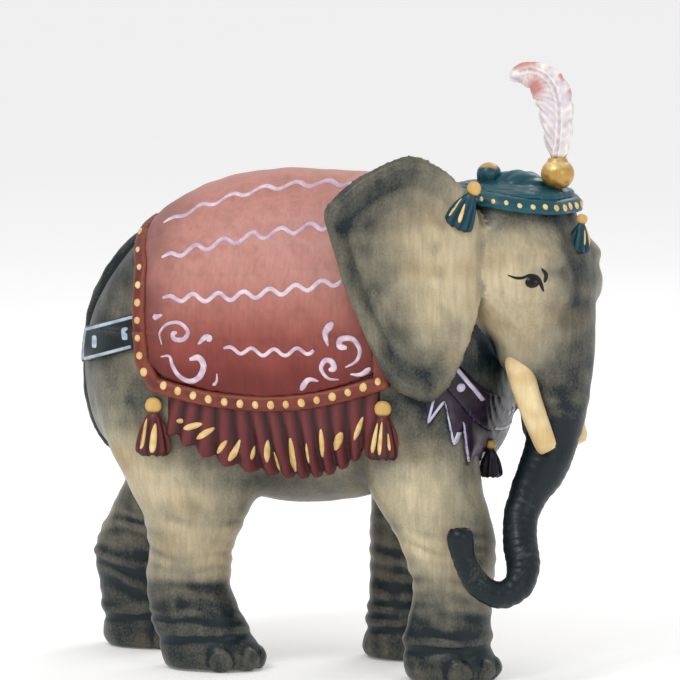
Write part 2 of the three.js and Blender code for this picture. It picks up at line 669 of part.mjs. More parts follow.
const tailClearance = solid(tailShape, GAP);
const cloth = skin(CLOTH).intersect(clothBlock(BORDER_WIDTH + GAP));
place('saddle_blanket', cut(cloth, earClearance), COLOUR.cloth, 0.6);
const borderBlock = clothBlock(0).subtract(clothBlock(BORDER_WIDTH));
const border = skin(CLOTH + BORDER_RISE).intersect(borderBlock);
const borderCuts = [...earClearance, ...tasselClearance, tailClearance];
place('blanket_border', cut(border, borderCuts), COLOUR.border, 0.6);
for (const [name, side] of [['fringe_right', RIGHT], ['fringe_left', LEFT]]) {
  const strip = skin(CLOTH).intersect(prism(fringeOutline(), -WIDE, WIDE)).intersect(sideBlock(side));
  place(name, cut(strip, [...tasselClearance, ...earClearance]), COLOUR.fringe, 0.6);
}
for (const name of tassels) {
  place(name, cut(cornerTassel(CORNER_TASSELS[name]), [bodyAt(GAP), ...earClearance]), COLOUR.tassel, 0.6);
}
const harness = (outline) => skin(HARNESS).intersect(prism(outline, -WIDE, WIDE));
const chest = [head(GAP), ...earClearance];
place('crupper_strap', harness(STRAP).subtract(clothBlock(-GAP)), COLOUR.strap);
place('breast_collar', cut(harness(COLLAR), chest), COLOUR.collar);
place('collar_pendants', cut(harness(PENDANTS), chest), COLOUR.collar);
place('collar_tassel', collarTassel().subtract(bodyAt(HARNESS + GAP)), COLOUR.collar);

const beadClearance = solid(beadShape(), GAP);
const knobClearance = solid(moundShape(KNOB), GAP);
const crestClearance = solid(moundShape(CREST), GAP);
const onWood = [head(GAP), bodyAt(GAP), ...allSockets];
const hangings = [foreheadTassel(GAP), sideTassel(RIGHT, GAP), sideTassel(LEFT, GAP)];
const capCuts = [beadClearance, ...hangings, ...allSockets, ...earClearance];
const capShell = headSkin(CAP).intersect(aboveRim(CAP_RIM.width + GAP));
place('head_cap', cut(capShell, [...capCuts, crestClearance, knobClearance]), COLOUR.cap);
const rimShell = headSkin(CAP + CAP_RIM.rise).intersect(aboveRim(0));
place('cap_rim', cut(rimShell, [aboveRim(CAP_RIM.width), ...capCuts]), COLOUR.cap);
place('cap_crest', cut(solid(moundShape(CREST)), [...onWood, knobClearance, beadClearance]), COLOUR.cap);
place('cap_knob', cut(solid(moundShape(KNOB)), onWood), COLOUR.gold, 0.4);
place('forehead_tassel', foreheadTassel().subtract(head(GAP)), COLOUR.cap);
place('side_tassel_right', cut(sideTassel(RIGHT), [head(GAP), ...earClearance]), COLOUR.cap);
place('side_tassel_left', cut(sideTassel(LEFT), [head(GAP), ...earClearance]), COLOUR.cap);
place('gold_bead', cut(solid(beadShape()), [head(GAP), ...allSockets]), COLOUR.gold, 0.35, 0.6);
place('plume', cut(solid(plumeShape()), [beadClearance, ...allSockets]), COLOUR.plume, 0.6);
for (const name of Object.keys(PEGS)) {
  place(name, pegAt(name), COLOUR.beech, 0.7);
}

// The origin is the middle of the figure's box, on the ground.
const box = new THREE.Box3().setFromObject(figure);
const middle = box.getCenter(new THREE.Vector3());
figure.position.set(-middle.x, -middle.y, -box.min.z);

export default figure;
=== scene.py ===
import functools
import math

import bmesh
import bpy
import numpy as np
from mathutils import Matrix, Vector
from mathutils.bvhtree import BVHTree


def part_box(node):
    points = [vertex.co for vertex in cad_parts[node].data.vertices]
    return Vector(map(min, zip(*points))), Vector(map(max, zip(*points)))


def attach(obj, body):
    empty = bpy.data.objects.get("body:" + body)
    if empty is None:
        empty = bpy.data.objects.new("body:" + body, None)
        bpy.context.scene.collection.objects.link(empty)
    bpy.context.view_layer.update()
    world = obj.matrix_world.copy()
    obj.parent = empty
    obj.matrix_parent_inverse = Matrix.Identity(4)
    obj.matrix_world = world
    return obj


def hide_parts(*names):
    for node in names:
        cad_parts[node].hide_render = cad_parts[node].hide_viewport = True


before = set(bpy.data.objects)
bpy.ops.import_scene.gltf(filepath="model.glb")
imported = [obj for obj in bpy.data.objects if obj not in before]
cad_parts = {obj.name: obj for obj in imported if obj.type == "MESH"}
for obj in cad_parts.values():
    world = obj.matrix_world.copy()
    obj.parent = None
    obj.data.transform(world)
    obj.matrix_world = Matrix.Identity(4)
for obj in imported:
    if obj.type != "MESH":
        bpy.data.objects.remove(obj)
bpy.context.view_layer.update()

MM = 0.001
STEP = 0.74          # spacing of the distance field
RANDOM = np.random.default_rng(7)

# ---- driving sizes of the figure, in its own millimetre frame ----
JOINT_HEIGHT = 60.0
TRUNK_JOINT_HEIGHT = 84.0
NECK_FOOT = (62.0, 98.0)
NECK_TOP = (38.0, 162.0)
HEAD_PIVOT_X = 42.0
HEAD_YAW = math.radians(-11)
HIND_JOINT_CENTRE = (-43.75, -20.8)
RIGHT, LEFT = -1, 1

# Sections of the carving, in millimetres.
# x, top, bottom, half width
TORSO_ROWS = [
    (-86.8, 97, 97, 0), (-84, 112.5, 81.5, 13), (-80, 122, 72.5, 19.5), (-73, 132.5, 66, 25),
    (-62.5, 143, 61.5, 29.5), (-49, 152.6, 58.6, 33), (-32, 158.4, 55.6, 34.5), (-14, 160, 53.2, 35),
    (4, 159.8, 54.6, 34.5), (20, 158, 59, 31.8), (34, 155, 63.5, 28), (45, 150, 67.6, 24.5),
    (52, 141, 73.2, 20.5), (56.2, 127, 83, 14), (58.6, 105, 105, 0),
]

# height, rear, front, inner side, outer side
LEG_ROWS = {
    "leg_hind_right": [
        (0, -52.5, -21, 9, 33), (4, -54, -19.8, 8.3, 34), (10, -55.4, -23, 9, 33.3),
        (20, -58, -28.6, 9.5, 32.6), (29, -59.3, -31.4, 9.5, 32.3), (38, -58, -31, 9.2, 32.6),
        (48, -60, -26.8, 8.5, 33.4), (60, -66, -21.5, 7, 34.6), (76, -73.5, -18, 5.5, 35.2),
        (94, -76, -22, 6, 34), (108, -70, -32, 11, 30),
    ],
    "leg_front_right": [
        (0, 31, 58, 9, 33), (4, 29.3, 60.3, 8.2, 34), (10, 28.8, 58, 8.6, 33.3), (20, 30.5, 57.6, 9, 32.8),
        (30, 32.4, 58.2, 9, 33), (44, 28, 59, 8.8, 33.8), (54, 21.5, 57.2, 8, 34.5), (62, 17, 55, 7.2, 34.8),
        (76, 15, 52.6, 6.8, 33.8), (94, 18, 48.6, 8, 30.6), (108, 25, 44, 13, 26),
    ],
    "leg_front_left": [
        (0, 3.5, 29, 8.5, 32.5), (4, 1.8, 31, 7.8, 33.5), (10, 3, 29.2, 8.3, 32.8), (24, 4.6, 28.8, 9, 32),
        (42, 4.4, 31, 8.6, 33), (54, 4.8, 35.5, 8, 34), (64, 6.6, 43, 7.2, 34.6), (80, 10, 46, 7.5, 33.8),
        (98, 18, 44, 11, 30),
    ],
    "leg_hind_left": [
        (0, -87, -60.5, 8.5, 32.5), (4, -89, -58.6, 7.8, 33.5), (10, -89, -60.6, 8.3, 32.8),
        (20, -90, -62, 9, 32), (31, -91.8, -62.6, 9, 32), (38, -90.2, -60, 8.8, 32.4),
        (47, -85.6, -54, 8.2, 33.2), (60, -79.5, -45, 7, 34), (76, -77, -37, 6, 34.4), (94, -74, -38, 8, 32),
    ],
}

# height, centre, half length, half width, in the head's frame
HEAD_ROWS = [
    (80, 32.4, 9.2, 9), (86, 32.9, 10.2, 9.8), (93, 32.7, 12, 11), (100, 31.8, 14, 12.3), (107, 29.6, 17, 14.5),
    (114, 25.8, 20.6, 17.5), (122, 21.4, 24.6, 21), (129, 18.8, 27.3, 24), (136, 17.6, 26.8, 25.2),
    (143, 16.6, 25.2, 25), (150, 15.6, 22.6, 22.8), (157, 15.8, 19.6, 18.4), (161.4, 15.5, 0, 0),
]

# x, y, z, radius
TRUNK_POINTS = [
    (74.3, -6.3, 90, 11), (74.6, -7.2, 83, 9.3), (74.2, -8.8, 75.5, 8.3), (71.6, -11.5, 67.2, 7.7),
    (68.6, -14.6, 60.4, 6.8), (67.2, -18.5, 53.4, 5.9), (68.4, -23, 45.6, 5.5), (70.9, -28, 38.8, 5.2),
    (70.4, -33, 33.2, 4.8), (65.2, -37, 30.6, 4.4), (58.6, -38.6, 34.4, 4.1), (54.6, -38.8, 41.6, 3.9),
    (53, -38.8, 48.4, 4.6),
]
TUSK_POINTS = [
    (23.5, 11.2, 113, 3.4), (26, 12.6, 107, 4.4), (28.6, 13.6, 99, 4.4), (32, 13.9, 90, 4.1),
    (35, 13.5, 82.5, 3.8), (37.2, 13, 77, 3.4), (38, 12.8, 75.4, 2.4),
]
LEFT_TUSK_SET_BACK = 2.0
TAIL_POINTS = [
    (-66.5, 0, 140.5, 1.8), (-71.5, 0, 136.2, 2.3), (-79, 0, 127.4, 2.3), (-84.6, 0, 116, 2.2),
    (-87.2, 0, 104, 2.2), (-87.6, 0, 93, 2.2), (-85.4, 0, 82.5, 2.5), (-81, 0, 74, 2.8), (-78.4, 0, 69.6, 1.6),
]

# distance back from the root, height
EAR_OUTLINE = [
    (0, 157), (10, 166.5), (21, 170), (34, 165), (44, 157), (47.4, 151.5), (45.4, 143), (40, 126), (32.6, 109),
    (27.2, 98.6), (20, 93), (12.6, 91.6), (6.4, 98.5), (1.2, 111), (-1.4, 124), (-1, 141),
]
EAR_MIDDLE = (19, 133)
EARS = {
    "ear_right": dict(side=RIGHT, x=53.5, y=27.5, swing=20, drop=0),
    "ear_left": dict(side=LEFT, x=61.5, y=21.5, swing=28, drop=10),
}

# ---- small maths ----


def monotone(rows, at):
    """Rows of numbers, read along their first column as smooth curves that never overshoot."""
    table = np.array(rows, float)
    x, values = table[:, 0], table[:, 1:]
    gap = np.diff(x)[:, None]
    slope = np.diff(values, axis=0) / gap
    tangent = np.zeros_like(values)
    with np.errstate(divide="ignore", invalid="ignore"):
        mean = 2 * slope[:-1] * slope[1:] / (slope[:-1] + slope[1:])
    tangent[1:-1] = np.where(slope[:-1] * slope[1:] > 0, mean, 0)
    tangent[0], tangent[-1] = slope[0], slope[-1]
    at = np.clip(at, x[0], x[-1])
    i = np.clip(np.searchsorted(x, at) - 1, 0, len(x) - 2)
    width = gap[i]
    t = (at - x[i])[:, None] / width
    a = values[i] * (1 + 2 * t) * (1 - t) ** 2 + tangent[i] * width * t * (1 - t) ** 2
    b = values[i + 1] * t * t * (3 - 2 * t) + tangent[i + 1] * width * t * t * (t - 1)
    return (a + b).T


def spline(points, per_span):
    """A Catmull-Rom run through the points, with every column interpolated."""
    p = np.array(points, float)
    p = np.vstack([2 * p[0] - p[1], p, 2 * p[-1] - p[-2]])
    t = (np.arange(per_span) / per_span)[:, None]
    spans = []
    for a, b, c, d in zip(p[:-3], p[1:-2], p[2:-1], p[3:]):
        bend = (2 * a - 5 * b + 4 * c - d) * t ** 2
        twist = (3 * b - a - 3 * c + d) * t ** 3
        spans.append(0.5 * (2 * b + (c - a) * t + bend + twist))
    return np.vstack(spans + [p[-2:-1]])


def blend(a, b, radius):
    """The union of two distance fields, with a fillet of about that radius."""
    closeness = np.maximum(radius - np.abs(a - b), 0) / radius
    return np.minimum(a, b) - closeness * closeness * radius * 0.25


def ramp(value, low, high):
    """0 below low, 1 above high, smooth between."""
    t = np.clip((value - low) / (high - low), 0, 1)
    return t * t * (3 - 2 * t)


WAVES = [(RANDOM.normal(size=3), RANDOM.uniform(0, 2 * math.pi)) for _ in range(14)]


def wobble(x, y, z, length):
    """Smooth noise of about that wavelength, from -1 to 1."""
    turn = 2 * math.pi / length
    return sum(np.sin(turn * (a * x + b * y + c * z) + phase) for (a, b, c), phase in WAVES) / 5


def turned(x, y, angle):
    """A place measured along axes that are turned by that many radians."""
    c, s = math.cos(angle), math.sin(angle)
    return x * c + y * s, y * c - x * s


def in_head(x, y):
    """The head's own forward and leftward distances of a place in the figure's frame."""
    return turned(x - HEAD_PIVOT_X, y, HEAD_YAW)


def from_head(forward, left):
    """The figure's X and Y of a place given in the head's frame."""
    x, y = turned(forward, left, -HEAD_YAW)
    return HEAD_PIVOT_X + x, y


# ---- the distance field ----


class Field:
    """A box of distances on a regular grid, with the name of the nearest part at each point."""

    def __init__(self, low, high):
        self.low = np.array(low, float)
        self.count = np.ceil((np.array(high) - self.low) / STEP).astype(int) + 1
        self.value = np.full(self.count, 40.0, np.float32)
        self.part = np.zeros(self.count, np.int8)

    def window(self, low, high):
        first = np.clip(np.floor((np.array(low) - self.low) / STEP).astype(int), 0, self.count - 2)
        last = np.clip(np.ceil((np.array(high) - self.low) / STEP).astype(int) + 1, first + 2, self.count)
        return tuple(slice(a, b) for a, b in zip(first, last))

    def places(self, window):
        lines = [self.low[i] + STEP * np.arange(window[i].start, window[i].stop) for i in range(3)]
        return np.meshgrid(*[line.astype(np.float32) for line in lines], indexing="ij", sparse=True)

    def add(self, part, low, high, shape, radius):
        window = self.window(low, high)
        new = shape(*self.places(window)).astype(np.float32)
        old = self.value[window]
        self.part[window] = np.where(new < old, PARTS.index(part), self.part[window])
        self.value[window] = blend(old, new, radius)

    def move(self, low, high, outwards):
        """Pushes the surface out by the given distances."""
        window = self.window(low, high)
        self.value[window] -= outwards(*self.places(window)).astype(np.float32)

    def straighten(self):
        """Makes the values near the surface true distances, by their slope."""
        slope = np.sqrt(sum(np.gradient(self.value, STEP, axis=axis) ** 2 for axis in range(3)))
        near = np.abs(self.value) < 4
        self.value[near] /= np.clip(slope[near], 0.45, 2.0)

    def nearest_part(self, points):
        cell = np.clip(np.rint((points - self.low) / STEP).astype(int), 0, self.count - 1)
        return self.part[tuple(cell.T)]


PARTS = [
    "torso", "head", "trunk", "ear_right", "ear_left", "tail",
    "leg_hind_right", "leg_front_right", "leg_front_left", "leg_hind_left",
]


def oval(across, along, half_across, half_along, power):
    """Distance to a rounded ring in its plane, measured towards its centre."""
    reach = np.sqrt(across ** 2 + along ** 2) + 1e-6
    total = np.abs(across / half_across) ** power + np.abs(along / half_along) ** power
    return reach - reach / (total ** (1 / power) + 1e-6)


def torso_shape(x, y, z):
    squares = [(row[0], (row[1] + row[2]) / 2, (row[1] - row[2]) ** 2 / 4, row[3] ** 2) for row in TORSO_ROWS]
    centre, tall, wide = (column[:, None, None] for column in monotone(squares, x.ravel()))
    tall, wide = np.sqrt(np.maximum(tall, 1)), np.sqrt(np.maximum(wide, 1))
    ends = np.maximum(TORSO_ROWS[0][0] - x, x - TORSO_ROWS[-1][0])
    return np.maximum(oval(y, z - centre, wide, tall, 2.2), ends)


def leg_shape(name):
    rows = LEG_ROWS[name]
    side = RIGHT if name.endswith("right") else LEFT

    def shape(x, y, z):
        rear, front, inner, outer = (column[None, None, :] for column in monotone(rows, z.ravel()))
        across = x - (rear + front) / 2
        along = y - side * (inner + outer) / 2
        ring = oval(across, along, (front - rear) / 2, (outer - inner) / 2, 2.2)
        return np.maximum(ring, np.maximum(-z, z - rows[-1][0]))

    return shape


def skull_shape(x, y, z):
    forward, left = in_head(x, y)
    squares = [(row[0], row[1], row[2] ** 2, row[3] ** 2) for row in HEAD_ROWS]
    centre, along, across = (column[None, None, :] for column in monotone(squares, z.ravel()))
    along, across = np.sqrt(np.maximum(along, 1)), np.sqrt(np.maximum(across, 1))
    ring = oval(forward - centre, left, along, across, 2.1)
    return np.maximum(ring, np.maximum(HEAD_ROWS[0][0] - z, z - HEAD_ROWS[-1][0]))


def ball(x, y, z, centre, radii, turn=0.0):
    """Distance to a ball stretched along X, Y and Z and turned about Z."""
    along, across = turned(x - centre[0], y - centre[1], turn)
    flat = (along / radii[0]) ** 2 + (across / radii[1]) ** 2
    return (np.sqrt(flat + ((z - centre[2]) / radii[2]) ** 2) + 1e-6 - 1) * min(radii)


def along_path(path, x, y, z):
    """Distance to a run of round sections, and how far along the run the nearest one is."""
    best = np.full(np.broadcast(x, y, z).shape, 1e3, np.float32)
    share = np.zeros_like(best)
    run = 0.0
    for a, b in zip(path[:-1], path[1:]):
        ab = b[:3] - a[:3]
        length = np.linalg.norm(ab)
        offsets = list(zip((x - a[0], y - a[1], z - a[2]), ab))
        t = np.clip(sum(offset * step for offset, step in offsets) / length ** 2, 0, 1)
        away = np.sqrt(sum((offset - t * step) ** 2 for offset, step in offsets))
        away = away - (a[3] + t * (b[3] - a[3]))
        nearer = away < best
        best = np.where(nearer, away, best)
        share = np.where(nearer, run + t * length, share)
        run += length
    return best, share


def reach_of(points, margin):
    p = np.array(points)[:, :3]
    size = np.array(points)[:, 3].max() + margin
    return p.min(0) - size, p.max(0) + size


TRUNK_RING = 2.9                       # spacing of the carved rings on the trunk


def trunk_shape(x, y, z):
    away, run = along_path(spline(TRUNK_POINTS, 3), x, y, z)
    deep = 0.32 * ramp(run, 4, 22)
    rings = deep * np.abs(np.sin(math.pi * run / TRUNK_RING + 0.25 * wobble(x, y, z, 14)))
    mouth = ball(x, y, z, (52.6, -38.9, 51.6), (2.6, 2.4, 4.6))
    return np.maximum(away + 0.2 - rings, -mouth)


def tail_shape(x, y, z):
    away, run = along_path(spline(TAIL_POINTS, 3), x, y, z)
    tuft = ramp(-z, -84, -74)
    strands = 0.5 * tuft * np.sin(y * 3.2 + 0.05 * run)
    return away - strands - 0.4 * tuft


# share of the way from the ear's middle to its edge, inner face, outer face
EAR_PROFILE = [
    (0, -1.6, 0.3), (0.35, -1.6, 0.1), (0.6, -1.5, 0.0), (0.76, -1.6, 0.7), (0.86, -1.8, 2.3), (0.93, -1.8, 2.9),
    (0.97, -1.3, 2.5), (1.0, 0.0, 0.4), (1.06, 2.0, -2.0),
]
EAR_CURL = 2.8


def ear_places(ear, x, y, z):
    """Distance back along the ear, outwards from its mid surface, and height."""
    turn = math.radians(-ear["side"] * ear["swing"])
    along, across = turned(x - ear["x"], y - ear["side"] * ear["y"], turn)
    return -along, across * ear["side"], z + ear["drop"]


def ear_share(back, height):
    """How far a place is from the ear's middle towards its edge, 1 on the edge."""
    edge = spline(EAR_OUTLINE + EAR_OUTLINE[:1], 6) - np.array(EAR_MIDDLE)
    angle = np.arctan2(edge[:, 1], edge[:, 0])
    radius = np.hypot(edge[:, 0], edge[:, 1])
    order = np.argsort(angle)
    here = np.arctan2(height - EAR_MIDDLE[1], back - EAR_MIDDLE[0])
    limit = np.interp(here, angle[order], radius[order], period=2 * math.pi)
    return np.hypot(back - EAR_MIDDLE[0], height - EAR_MIDDLE[1]) / limit, here


def ear_shape(name):
    ear = EARS[name]

    def shape(x, y, z):
        back, out, height = ear_places(ear, x, y, z)
        share, angle = ear_share(back, height)
        share = share.astype(np.float32)
        lines = np.array(EAR_PROFILE)
        inner = np.interp(share, lines[:, 0], lines[:, 1])
        outer = np.interp(share, lines[:, 0], lines[:, 2])
        rear = ramp(back, 4, 30)
        outer = outer * (0.35 + 0.65 * rear) + 0.4
        folds = 0.35 * ramp(share, 0.2, 0.6) * np.sin(7 * angle + 3 * share)
        lift = EAR_CURL * (np.minimum(share, 1.1) ** 2 - 1)
        plate = np.maximum(out - lift - outer - folds, lift + inner - out)
        root = ball(-back, out, height, (-2.4, -1.4, 137), (6.4, 3.2, 17))
        return blend(plate * 0.8, root, 3)

    return shape


EYE = dict(forward=36.2, height=131.0)


def head_details(x, y, z):
    """Carved relief on the head: brows, hollows under them, temples and cheeks."""
    forward, left = in_head(x, y)
    aside = np.abs(left)
    brow = 0.9 * np.exp(-(((forward - 38) / 9) ** 2 + ((z - 138.5 + 0.12 * (forward - 38)) / 3.2) ** 2))
    hollow = 1.1 * np.exp(-(((forward - 39) / 7) ** 2 + ((z - 132.6) / 3.2) ** 2))
    bag = 0.5 * np.exp(-(((forward - 36) / 8) ** 2 + ((z - 124.5) / 2.4) ** 2))
    temple = 1.6 * np.exp(-(((forward - 17) / 8) ** 2 + ((z - 143) / 9) ** 2))
    cheek = 1.0 * np.exp(-(((forward - 24) / 7) ** 2 + ((z - 118) / 9) ** 2))
    side = ramp(aside, 8, 13)
    crown = 0.9 * np.exp(-(((forward - 36) / 12) ** 2 + (left / 5) ** 2 + ((z - 152) / 9) ** 2))
    return side * (brow - hollow + bag - temple + cheek) - crown


def leg_details(name):
    """Toenails, ankle folds and knee wrinkles on one leg."""
    rows = LEG_ROWS[name]
    side = RIGHT if name.endswith("right") else LEFT
    foot = next(row for row in rows if row[0] == 4)
    centre = ((foot[1] + foot[2]) / 2, side * (foot[3] + foot[4]) / 2)
    half = ((foot[2] - foot[1]) / 2, (foot[4] - foot[3]) / 2)

    def outwards(x, y, z):
        angle = np.arctan2((y - centre[1]) / half[1], (x - centre[0]) / half[0])
        total = 0
        for nail in (-62, -22, 18, 58):
            away = np.abs(angle + side * math.radians(nail - 4)) * half[0]
            shape = (away / 3.9) ** 2 + ((z - 3.6) / 4.4) ** 2
            total = total + 0.95 * ramp(1.15 - shape, 0, 0.5)
        lower = ramp(-z, -56, -44) * ramp(z, 9, 14)
        bend = z + 1.6 * np.cos(angle + side * 0.5) + 1.8 * wobble(x, y, z, 34)
        folds = 0.42 * np.sin(2 * math.pi * bend / 5.6) * lower * (0.45 + 0.55 * wobble(x, y, z, 26))
        groove = -0.8 * np.exp(-((z - 10.6 - 0.9 * np.cos(angle)) / 1.5) ** 2)
        pad = 0.5 * np.exp(-((z - 13.6) / 1.8) ** 2)
        base = -0.7 * ramp(-z, -1.6, 0.4)
        return total + folds + groove + pad + base

    return outwards


def tool_marks(x, y, z):
    """The faint facets a gouge leaves, and slow unevenness of hand carving."""
    return 0.16 * wobble(x, y, z, 17) + 0.3 * wobble(x, y, z, 60)


def add_head(field):
    """The skull with its brows and the pouches at the mouth."""
    field.add("head", (20, -42, 76), (94, 40, 166), skull_shape, 6)
    for side in (RIGHT, LEFT):
        for forward, apart, height, radii, turn, spread, fillet in HEAD_BUMPS:
            x, y = from_head(forward, side * apart)
            place = (x, y, height)
            heading = HEAD_YAW - side * turn
            field.add("head", (x - 16, y - 14, height - spread), (x + 16, y + 14, height + spread),
                      lambda a, b, c: ball(a, b, c, place, radii, heading), fillet)
    field.move((24, -42, 96), (96, 40, 164), head_details)


# brow and mouth pouch: forward, apart, height, half sizes, turn, reach, fillet
HEAD_BUMPS = [(34.5, 16.4, 130, (9.5, 6, 9), 0.45, 16, 5), (27.5, 11.5, 106, (8.5, 6, 8), 0.0, 14, 3.5)]


WHOLE = (-98, -58, -2.5), (96, 62, 176)   # the box that holds the figure
BODY = (-98, -58, 40), (76, 62, 176)      # the part of it above the knees


def sculpt():
    """The whole figure, and its body and its head each alone, for the pieces that lie on them."""
    wood = Field(*WHOLE)
    wood.add("torso", (-96, -42, 48), (66, 42, 168), torso_shape, 1)
    for name, rows in LEG_ROWS.items():
        side = RIGHT if name.endswith("right") else LEFT
        table = np.array(rows)
        low = (table[:, 1].min() - 8, min(side * 2, side * 42), -2)
        high = (table[:, 2].max() + 8, max(side * 2, side * 42), table[-1, 0] + 2)
        wood.add(name, low, high, leg_shape(name), 7)
        wood.move(low, (high[0], high[1], 58), leg_details(name))
    body = Field(*BODY)
    window = wood.window(*BODY)
    body.value = wood.value[window].copy()
    body.low = wood.low + STEP * np.array([part.start for part in window])
    body.count = np.array(body.value.shape)
    head = Field((14, -50, 90), (96, 48, 176))
    add_head(head)
    add_head(wood)
    low, high = reach_of(TRUNK_POINTS, 6)
    wood.add("trunk", low, high, trunk_shape, 2.5)
    low, high = reach_of(TAIL_POINTS, 4)
    wood.add("tail", low, high, tail_shape, 1.5)
    for name, ear in EARS.items():
        reach = sorted((ear["side"] * 10, ear["side"] * 57))
        wood.add(name, (2, reach[0], 78), (72, reach[1], 174), ear_shape(name), 2)
    for field in (wood, body, head):
        field.move(*WHOLE, tool_marks)
    for field in (body, head):
        field.straighten()
    floor = -wood.places(wood.window(*WHOLE))[2]
    wood.value = np.maximum(wood.value, floor.astype(np.float32))
    return wood, body, head


# ---- from fields to meshes ----


def layers_of(grid, axis):
    """The grid without its last layer, and without its first, along an axis."""
    behind, ahead = [slice(None)] * 3, [slice(None)] * 3
    behind[axis], ahead[axis] = slice(None, -1), slice(1, None)
    return grid[tuple(behind)], grid[tuple(ahead)]


def surface_points(value, cells, low, step):
    """In each cell, the middle of the places where the surface crosses its twelve edges."""
    points = np.zeros((len(cells), 3))
    hits = np.zeros(len(cells))
    for axis in range(3):
        for u, v in ((0, 0), (0, 1), (1, 0), (1, 1)):
            start = cells.copy()
            start[:, (axis + 1) % 3] += u
            start[:, (axis + 2) % 3] += v
            end = start.copy()
            end[:, axis] += 1
            a, b = value[tuple(start.T)], value[tuple(end.T)]
            crossing = (a < 0) != (b < 0)
            place = start[crossing].astype(float)
            place[:, axis] += a[crossing] / (a[crossing] - b[crossing])
            points[crossing] += place
            hits[crossing] += 1
    return low + step * points / hits[:, None]


def surface_net(value, low, step=STEP):
    """Vertices and outward quads of the zero surface of a grid of distances."""
    inside = value < 0
    full = inside.astype(np.int8)
    for axis in range(3):
        full = sum(layers_of(full, axis))
    active = (full > 0) & (full < 8)
    cells = np.argwhere(active)
    index = np.full(active.shape, -1, np.int32)
    index[active] = np.arange(len(cells))
    quads = []
    for axis in range(3):
        outward, beyond = layers_of(inside, axis)
        edges = np.argwhere(outward != beyond)
        across = [(axis + 1) % 3, (axis + 2) % 3]
        sizes = np.array(value.shape)[across]
        edges = edges[((edges[:, across] > 0) & (edges[:, across] < sizes - 1)).all(1)]
        corners = []
        for offset in ((-1, -1), (0, -1), (0, 0), (-1, 0)):
            cell = edges.copy()
            cell[:, across] += offset
            corners.append(index[tuple(cell.T)])
        quad = np.stack(corners, 1)
        flip = ~outward[tuple(edges.T)]
        quad[flip] = quad[flip][:, ::-1]
        quads.append(quad)
    return surface_points(value, cells, low, step), np.vstack(quads)


def relax(points, quads, rounds, hold=0.98, strength=0.5):
    """Evens the mesh out, each vertex moving towards the middle of its neighbours and back by hold."""
    a = np.concatenate([quads[:, i] for i in range(4)])
    b = np.concatenate([quads[:, (i + 1) % 4] for i in range(4)])
    degree = np.bincount(a, minlength=len(points)) + np.bincount(b, minlength=len(points))
    for i in range(rounds):
        push = strength if i % 2 == 0 else -strength * hold
        mean = np.stack([
            np.bincount(a, points[b, axis], len(points)) + np.bincount(b, points[a, axis], len(points))
            for axis in range(3)
        ], 1) / degree[:, None]
        points = points + push * (mean - points)
    return points


def normals_of(points, quads):
    one = points[quads[:, 2]] - points[quads[:, 0]]
    two = points[quads[:, 3]] - points[quads[:, 1]]
    face = np.cross(one, two)
    total = np.zeros_like(points)
    for corner in range(4):
        for axis in range(3):
            total[:, axis] += np.bincount(quads[:, corner], face[:, axis], len(points))
    return total / np.maximum(np.linalg.norm(total, axis=1), 1e-9)[:, None]


def shift_to_frame():
    """From the figure's own millimetres to the row's frame, found from a dowel whose place is known."""
    low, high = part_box("dowel_leg_hind_right")
    middle = (low + high) / 2 / MM
    return np.array(middle) - (*HIND_JOINT_CENTRE, JOINT_HEIGHT)


SHIFT = shift_to_frame()


def make_mesh(name, points, faces):
    """A smooth-shaded object from points in the figure's millimetres."""
    mesh = bpy.data.meshes.new(name)
    corners = faces.tolist() if hasattr(faces, "tolist") else faces
    mesh.from_pydata(((points + SHIFT) * MM).tolist(), [], corners)
    mesh.polygons.foreach_set("use_smooth", np.full(len(mesh.polygons), True))
    piece = bpy.data.objects.new(name, mesh)
    bpy.context.scene.collection.objects.link(piece)
    return piece


def set_paint(piece, colour):
    """Stores a painted colour, linear red, green and blue, at every vertex."""
    data = np.ones((len(piece.data.vertices), 4), np.float32)
    data[:, :3] = colour
    layer = piece.data.color_attributes.new("paint", "FLOAT_COLOR", "POINT")
    layer.data.foreach_set("color", data.ravel())


LIP = 1.4                              # depth at which the closing face of a piece lies under its surface


def close_openings(piece):
    """Turns each open edge in under the surface and fills it, so that the piece is one closed body."""
    shape = bmesh.new()
    shape.from_mesh(piece.data)
    facing = shape.verts.layers.float_vector["whole_normal"]
    lip = bmesh.ops.extrude_edge_only(shape, edges=[edge for edge in shape.edges if edge.is_boundary])
    for vertex in lip["geom"]:
        if isinstance(vertex, bmesh.types.BMVert):
            vertex.co -= vertex[facing] * LIP * MM
    edges = [edge for edge in shape.edges if edge.is_boundary]
    bmesh.ops.holes_fill(shape, edges=edges, sides=0)
    shape.to_mesh(piece.data)
    shape.free()


def linear(hex_colour):
    """Linear red, green and blue of a colour written as on a paint card."""
    channels = np.array([(hex_colour >> shift & 255) / 255 for shift in (16, 8, 0)])
    return np.where(channels < 0.04045, channels / 12.92, ((channels + 0.055) / 1.055) ** 2.4)


def mix(base, colour, amount):
    """Lays a colour over others with a given amount at each vertex."""
    amount = np.clip(amount, 0, 1)[:, None]
    return base * (1 - amount) + linear(colour) * amount


def coats(points, base, *layers):
    """One colour at every point, and over it each layer's colour by its amount, in order."""
    result = np.tile(linear(base), (len(points), 1))
    for colour, amount in layers:
        result = mix(result, colour, amount)
    return result


def settle(piece, material, slot, *nodes):
    """Gives a finished piece its material and its body, and hides the CAD parts it stands for; its slot is not
    used.
    """
    piece.data.materials.append(material)
    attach(piece, "root")
    if nodes:
        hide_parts(*nodes)
    return piece


# ---- the painted wood ----

HIDE = 0xA6977A
HIDE_LIGHT = 0xC4B695
HIDE_WARM = 0x94713C
MIST = 0x3C5A60
SHADE = 0x0E3038
SHADE_DEEP = 0x03161D


